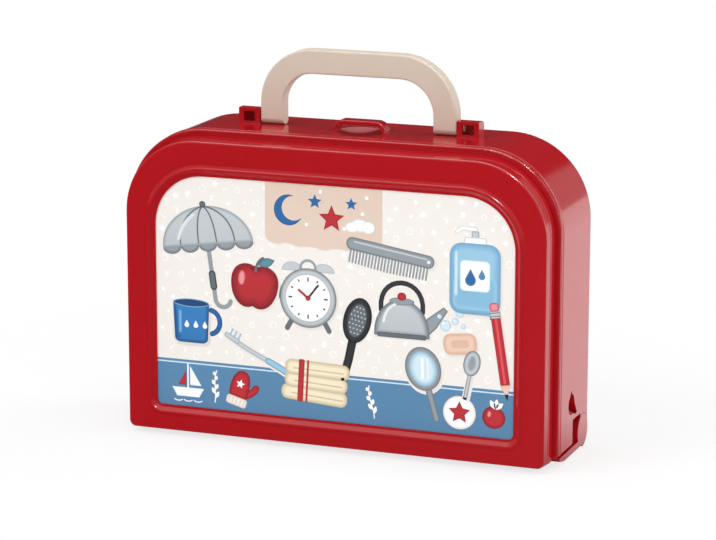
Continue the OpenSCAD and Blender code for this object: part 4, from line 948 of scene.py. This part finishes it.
def foot_band(sheet):
    """The blue band along the card's foot, and a thin pale line in it."""
    side, corner, lap = CARD_W / 2, BAND_CORNER, CARD_LAP / 2
    band = [(-side - lap, BAND_H), (-side - lap, corner)]
    band += oval(corner + lap, at=(-side + corner, corner), start=190, end=270, steps=6)
    band += oval(corner + lap, at=(side - corner, corner), start=270, end=350, steps=6)
    band += [(side + lap, corner), (side + lap, BAND_H)]
    sheet.plate(band, BAND, 2, foot=-0.05)
    sheet.plate(block(CARD_W + 2 * lap, 0.9, 0.2, at=(0, BAND_H - 2.2)), ICE, 2.4)


sheet = Sheet()
signs = scatter_signs(sheet)
foot_band(sheet)
print("signs on the ground:", signs)

# %% [markdown]
# The tab hangs over the ground, and the things lie over both. The whole print is one piece that
# rides on the lid, as the card does.

# %% Tab, things and the finished print
TAB_W, TAB_H, TAB_X = 84.0, 43.0, -6.0
SCALLOPS = 5


def paper_tab(sheet):
    """The tab on the card's upper edge; its foot is a row of round scallops."""
    foot, top = CARD_H - TAB_H, CARD_H + CARD_LAP / 2
    tab = [(TAB_X + TAB_W / 2, top), (TAB_X - TAB_W / 2, top)]
    tab += oval(TAB_W / 2, 7, at=(TAB_X, foot + 7), start=180, end=360, steps=30)
    for k in range(SCALLOPS):
        aside = k - SCALLOPS // 2
        at = (TAB_X + aside * TAB_W / SCALLOPS, foot + 4 + abs(aside))
        scallop = oval(TAB_W / SCALLOPS / 2 - 0.2, 5, at=at)
        below = [(x + 0.9, z - 1.3) for x, z in scallop]
        sheet.plate(below, CREAM_SHADOW, 1.4 + k / 10, CREAM, 1.6)
        sheet.plate(scallop, PAPER, 2.5 + k / 10)
    sheet.plate(tab, PAPER, 3)


def tab_signs(sheet):
    """Moon, stars and a cloud on the tab."""
    pen = Pen(sheet, (TAB_X, CARD_H - TAB_H / 2 + 2), level=4)
    pen.put(oval(10.5, at=(-25, 1)), DEEP_BLUE, ink(24, 78, 132), 1.0)
    pen.put(oval(8.4, at=(-21.4, 2.4)), PAPER)
    pen.put(star(9.5, at=(6, -3)), CHERRY, DEEP_RED, 1.2)
    pen.put(star(5.2, at=(-6, 8)), DEEP_BLUE, up=0)
    pen.put(star(4.4, at=(20, 8)), DEEP_BLUE, up=0)
    for x, z in ((-12, -8), (15, -9), (28, 2), (-2, 15), (31, 13)):
        pen.put(oval(1.3, at=(x, z), steps=14), WHITE, up=0)
    pen.put(oval(6.2, 4.2, at=(26, -6)), WHITE, ICE, 1.2, up=0)
    pen.put(oval(4.6, 4.0, at=(32, -7)), WHITE, ICE, 1.0, up=0.6)
    pen.put(oval(4.6, 3.4, at=(20.6, -7.4)), WHITE, ICE, 1.0, up=0.6)


paper_tab(sheet)
tab_signs(sheet)
THINGS = [
    (umbrella, (-90, 115), 8, 1.12), (mug, (-103, 60), 0, 1.12), (apple, (-56, 90), -6, 1.08),
    (clock, (-17, 84), 0, 1.08), (toothbrush, (-55, 42), 62, 0.72), (comb, (41, 116), -9, 0.98),
    (brush, (15, 58), -14, 1.0), (kettle, (50, 77), 0, 0.98), (bottle, (101, 113), 0, 1.04),
    (pencil, (119, 60), 9, 0.84), (soap, (91, 62), 6, 0.90), (mirror, (68, 33), 16, 0.84),
    (spoon, (97, 38), -12, 0.90), (towel, (-12, 27), -3, 1.14), (mitten, (-68, 14), -16, 0.80),
    (boat, (-106, 17), 0, 0.92), (sprig, (-86, 16), 0, 0.80), (sprig, (28, 16), 14, 0.80),
    (badge, (91, 15), 0, 0.92), (berry, (115, 14), -10, 0.96),
]
for draw, at, turn, size in THINGS:
    draw(Pen(sheet, at, turn, size))
foot_at = Vector((0, card_low.y, card_low.z + CARD_LAP * MM))
print_on("card_print", sheet, lambda p: foot_at + p, body="lid")
print("faces:", len(sheet.faces), "thickness in mm:", round(-min(v[1] for v in sheet.verts), 2))

# %% [markdown]
# The toys inside are printed and fitted too: a scale on the thermometer and on the syringe,
# signs on the phone's tiles, a picture around the jar's label, pads on the plasters, a switch
# on the otoscope. They ride on the shell, as the toys do.

# %% Prints on the thermometer and the phone
TILE_SIDE = 10.2


def face_of(node):
    """Middle of the lower edge of a solid's front face, and its width and height in mm."""
    a, b = node_box(node)
    return Vector(((a.x + b.x) / 2, a.y, a.z)), (b.x - a.x) / MM, (b.z - a.z) / MM


def thermometer_print():
    """A tube with its red column between two rows of marks."""
    at, w, h = face_of("thermometer_scale")
    sheet = Sheet()
    sheet.plate(block(w - 1.4, h - 1.4, 2.0, at=(0, h / 2)), ICE, 1, PALE_BLUE, 1.0)
    sheet.plate(block(2.6, h - 12, 1.2, at=(0, h / 2 + 1)), WHITE, 2, GREY, 0.5)
    sheet.plate(block(1.3, h * 0.52, 0.6, at=(0, h * 0.34)), CHERRY, 3)
    sheet.plate(oval(2.4, at=(0, 6.5)), CHERRY, 4, DEEP_RED, 1.0)
    for k in range(20):
        long = 2.6 if k % 5 == 0 else 1.5
        for side in (-1, 1):
            mark = block(long, 0.45, 0.2, at=(side * (1.9 + long / 2), 11.5 + 2.15 * k))
            sheet.plate(mark, CHERRY if k == 10 else COAL, 3)
    print_on("thermometer_print", sheet, lambda p: at + p)


def phone_bar_print():
    """The bar along the top of the screen, with its signal steps and battery."""
    at, w, h = face_of("phone_screen")
    sheet = Sheet()
    sheet.plate(block(w - 3, 6.4, 1.6, at=(0, h - 5.4)), DEEP_BLUE, 1)
    for k in range(4):
        sheet.plate(block(1.3, 1.2 + 0.9 * k, 0.3, at=(-16 + 2.1 * k, h - 7 + 0.45 * k)), WHITE, 2)
    sheet.plate(block(6, 3.2, 0.6, at=(15, h - 5.4)), WHITE, 2)
    sheet.plate(block(4.0, 1.6, 0.3, at=(14.6, h - 5.4)), CHERRY, 3)
    print_on("phone_bar", sheet, lambda p: at + p)


def phone_tile_print(node, rows, shade):
    """A sign on each tile; every third tile of the white ones has a red sign."""
    at, w, h = face_of(node)
    sheet = Sheet()
    for row in range(rows):
        z = TILE_SIDE / 2 + row * (h - TILE_SIDE) / max(rows - 1, 1)
        for col in (-1, 0, 1):
            x = col * (w - TILE_SIDE) / 2
            colour = CHERRY if (row + col) % 3 == 0 and rows > 1 else shade
            for points in sign((row * 3 + col + 4) % 6, 3.0):
                sheet.plate(moved(points, (x, z), 20 * row), colour, 1)
    print_on(node[:-1] + "_signs", sheet, lambda p: at + p)


thermometer_print()
phone_bar_print()
phone_tile_print("phone_tiles", 4, DEEP_BLUE)
phone_tile_print("phone_call_tiles", 1, WHITE)
print("prints so far:", PRINTS)

# %% [markdown]
# Round things take their print wrapped around them: the jar's picture and the syringe's scale.
# The top plaster gets its pad and its small holes.

# %% Prints on the jar, the syringe and the plasters
PRINT_LIFT = 0.3


def wrapped(middle, radius):
    """Bends a sheet around an upright axis, its middle facing the lid."""
    def place(p):
        turn, reach = p.x / radius, radius - p.y
        return middle + Vector((reach * math.sin(turn), -reach * math.cos(turn), p.z))
    return place


def jar_print():
    """Two bands with an apple, two berries and two stars between them."""
    low, high = node_box("jar_body")
    label_at, _, label_h = face_of("jar_label")
    radius = (high.x - low.x) / 2 + PRINT_LIFT * MM
    middle = Vector(((low.x + high.x) / 2, (low.y + high.y) / 2, label_at.z))
    sheet = Sheet()
    sheet.plate(block(68, 5, 0.4, at=(0, 3.4)), BAND, 1)
    sheet.plate(block(68, 1.2, 0.3, at=(0, label_h - 2.4)), BAND, 1)
    for k in range(-4, 5):
        sheet.plate(oval(0.9, at=(8 * k, 3.4), steps=12), WHITE, 2)
    berry(Pen(sheet, (-13, 16), 8, 0.72, level=1))
    apple(Pen(sheet, (2, 15.5), 0, 0.5, level=1))
    berry(Pen(sheet, (16, 15.5), -14, 0.66, level=1))
    for x in (-26, 26):
        sheet.plate(moved(star(4.4), (x, 15.5)), DEEP_BLUE, 2)
    print_on("jar_print", sheet, wrapped(middle, radius))


def syringe_print():
    """A scale with a longer mark at every fifth step."""
    low, high = node_box("syringe_barrel")
    middle = Vector(((low.x + high.x) / 2, (low.y + high.y) / 2, low.z))
    sheet = Sheet()
    for k in range(25):
        long = 7.0 if k % 5 == 0 else 4.0
        sheet.plate(block(long, 0.55, 0.25, at=(long / 2 - 3.5, 10 + 2.4 * k)), COAL, 1)
    sheet.plate(block(0.6, 59, 0.25, at=(-3.8, 38.8)), COAL, 1)
    print_on("syringe_scale", sheet, wrapped(middle, (high.y - low.y) / 2))


def plaster_print():
    """A pad in the middle and rows of small holes beside it."""
    at, w, h = face_of("plasters")
    sheet = Sheet()
    sheet.plate(block(w - 3.6, 21, 1.6, at=(0, h / 2)), ink(247, 232, 220), 5, ink(226, 196, 176), 1.0)
    for end in (-1, 1):
        for row in range(4):
            for col in (-1, 0, 1):
                hole = (col * 3.6, h / 2 + end * (14.5 + 3.2 * row))
                sheet.plate(oval(0.55, at=hole, steps=10), ink(176, 132, 108), 1)
    print_on("plaster_pad", sheet, lambda p: at + p)


jar_print()
syringe_print()
plaster_print()
print("prints in all:", len(PRINTS))

# %% [markdown]
# Turned pieces come last: the otoscope's switch, caps on the hammer's ends, and the faint
# rings that ejector pins leave on the plain back of a moulding.

# %% Turned pieces
SHARP_ANGLE = 35
GRIP_RADIUS, SWITCH_UP = 10, 52
RING_DROP, RING_STEP = 12, 6
FIELD_SINK = 0.6
EJECTOR_ROWS = (40, 106, 166)
EJECTOR_COLUMNS = (-112, -38, 38, 112)


def turned(name, rings, at, axis, slot, steps=32, body="back_shell"):
    """A closed round piece: rings are (radius, height) pairs in mm, and 0 closes an end."""
    verts, faces, rows = [], [], []
    turn = Vector((0, 0, 1)).rotation_difference(Vector(axis)).to_matrix()
    for r, h in rings:
        count = 1 if r == 0 else steps
        rows.append((len(verts), count))
        for i in range(count):
            a = 2 * math.pi * i / steps
            verts.append(Vector(at) + turn @ Vector((r * math.cos(a), r * math.sin(a), h)) * MM)
    for (a, na), (b, nb) in zip(rows, rows[1:]):
        for i in range(steps):
            j = (i + 1) % steps
            corners = [a + i % na, a + j % na, b + j % nb, b + i % nb]
            faces.append(tuple(dict.fromkeys(corners)))
    piece = add_mesh(name, verts, faces, smooth=True)
    piece.data.set_sharp_from_angle(angle=math.radians(SHARP_ANGLE))
    piece.data.materials.append(FINISH[slot])
    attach(piece, body)


def otoscope_switch():
    """A red switch on the handle's front, and three dark rings below it."""
    low, high = node_box("otoscope_body")
    at = Vector(((low.x + high.x) / 2, (low.y + high.y) / 2 - GRIP_RADIUS * MM, low.z + SWITCH_UP * MM))
    turned("otoscope_switch", [(0, -2), (4.6, -2), (4.6, 0.8), (4.0, 1.5), (2.6, 1.3), (0, 1.1)],
           at, (0, -1, 0), "red_plastic")
    for k in range(3):
        below = Vector((0, 0, RING_DROP + RING_STEP * k)) * MM
        turned(f"otoscope_ring_{k}", [(0, -1.2), (2.1, -1.2), (2.1, 0.3), (1.6, 0.55), (0, 0.55)],
               at - below, (0, -1, 0), "dark_plastic")


def hammer_caps():
    """A dished dark cap on each end of the hammer's head."""
    low, high = node_box("hammer_head")
    y, z = (low.y + high.y) / 2, (low.z + high.z) / 2
    cap = [(0, -0.6), (5.6, -0.6), (5.6, -0.15), (5.0, -0.02), (3.4, -0.02), (3.0, -0.3), (0, -0.3)]
    for name, side, x in (("left", -1, low.x), ("right", 1, high.x)):
        turned("hammer_cap_" + name, cap, (x, y, z), (side, 0, 0), "dark_plastic")


def ejector_rings():
    """Rings in rows on the sunk field of the back."""
    field = node_box("back_shell")[1].y - FIELD_SINK * MM
    ring = [(0, -0.3), (4.3, -0.3), (4.3, 0.10), (4.0, 0.18), (3.7, 0.10), (3.6, 0.03), (0, 0.02)]
    for row, z in enumerate(EJECTOR_ROWS):
        for col, x in enumerate(EJECTOR_COLUMNS):
            turned(f"ejector_ring_{row}_{col}", ring, (x * MM, field, z * MM), (0, 1, 0), "red_plastic", 40)


otoscope_switch()
hammer_caps()
ejector_rings()
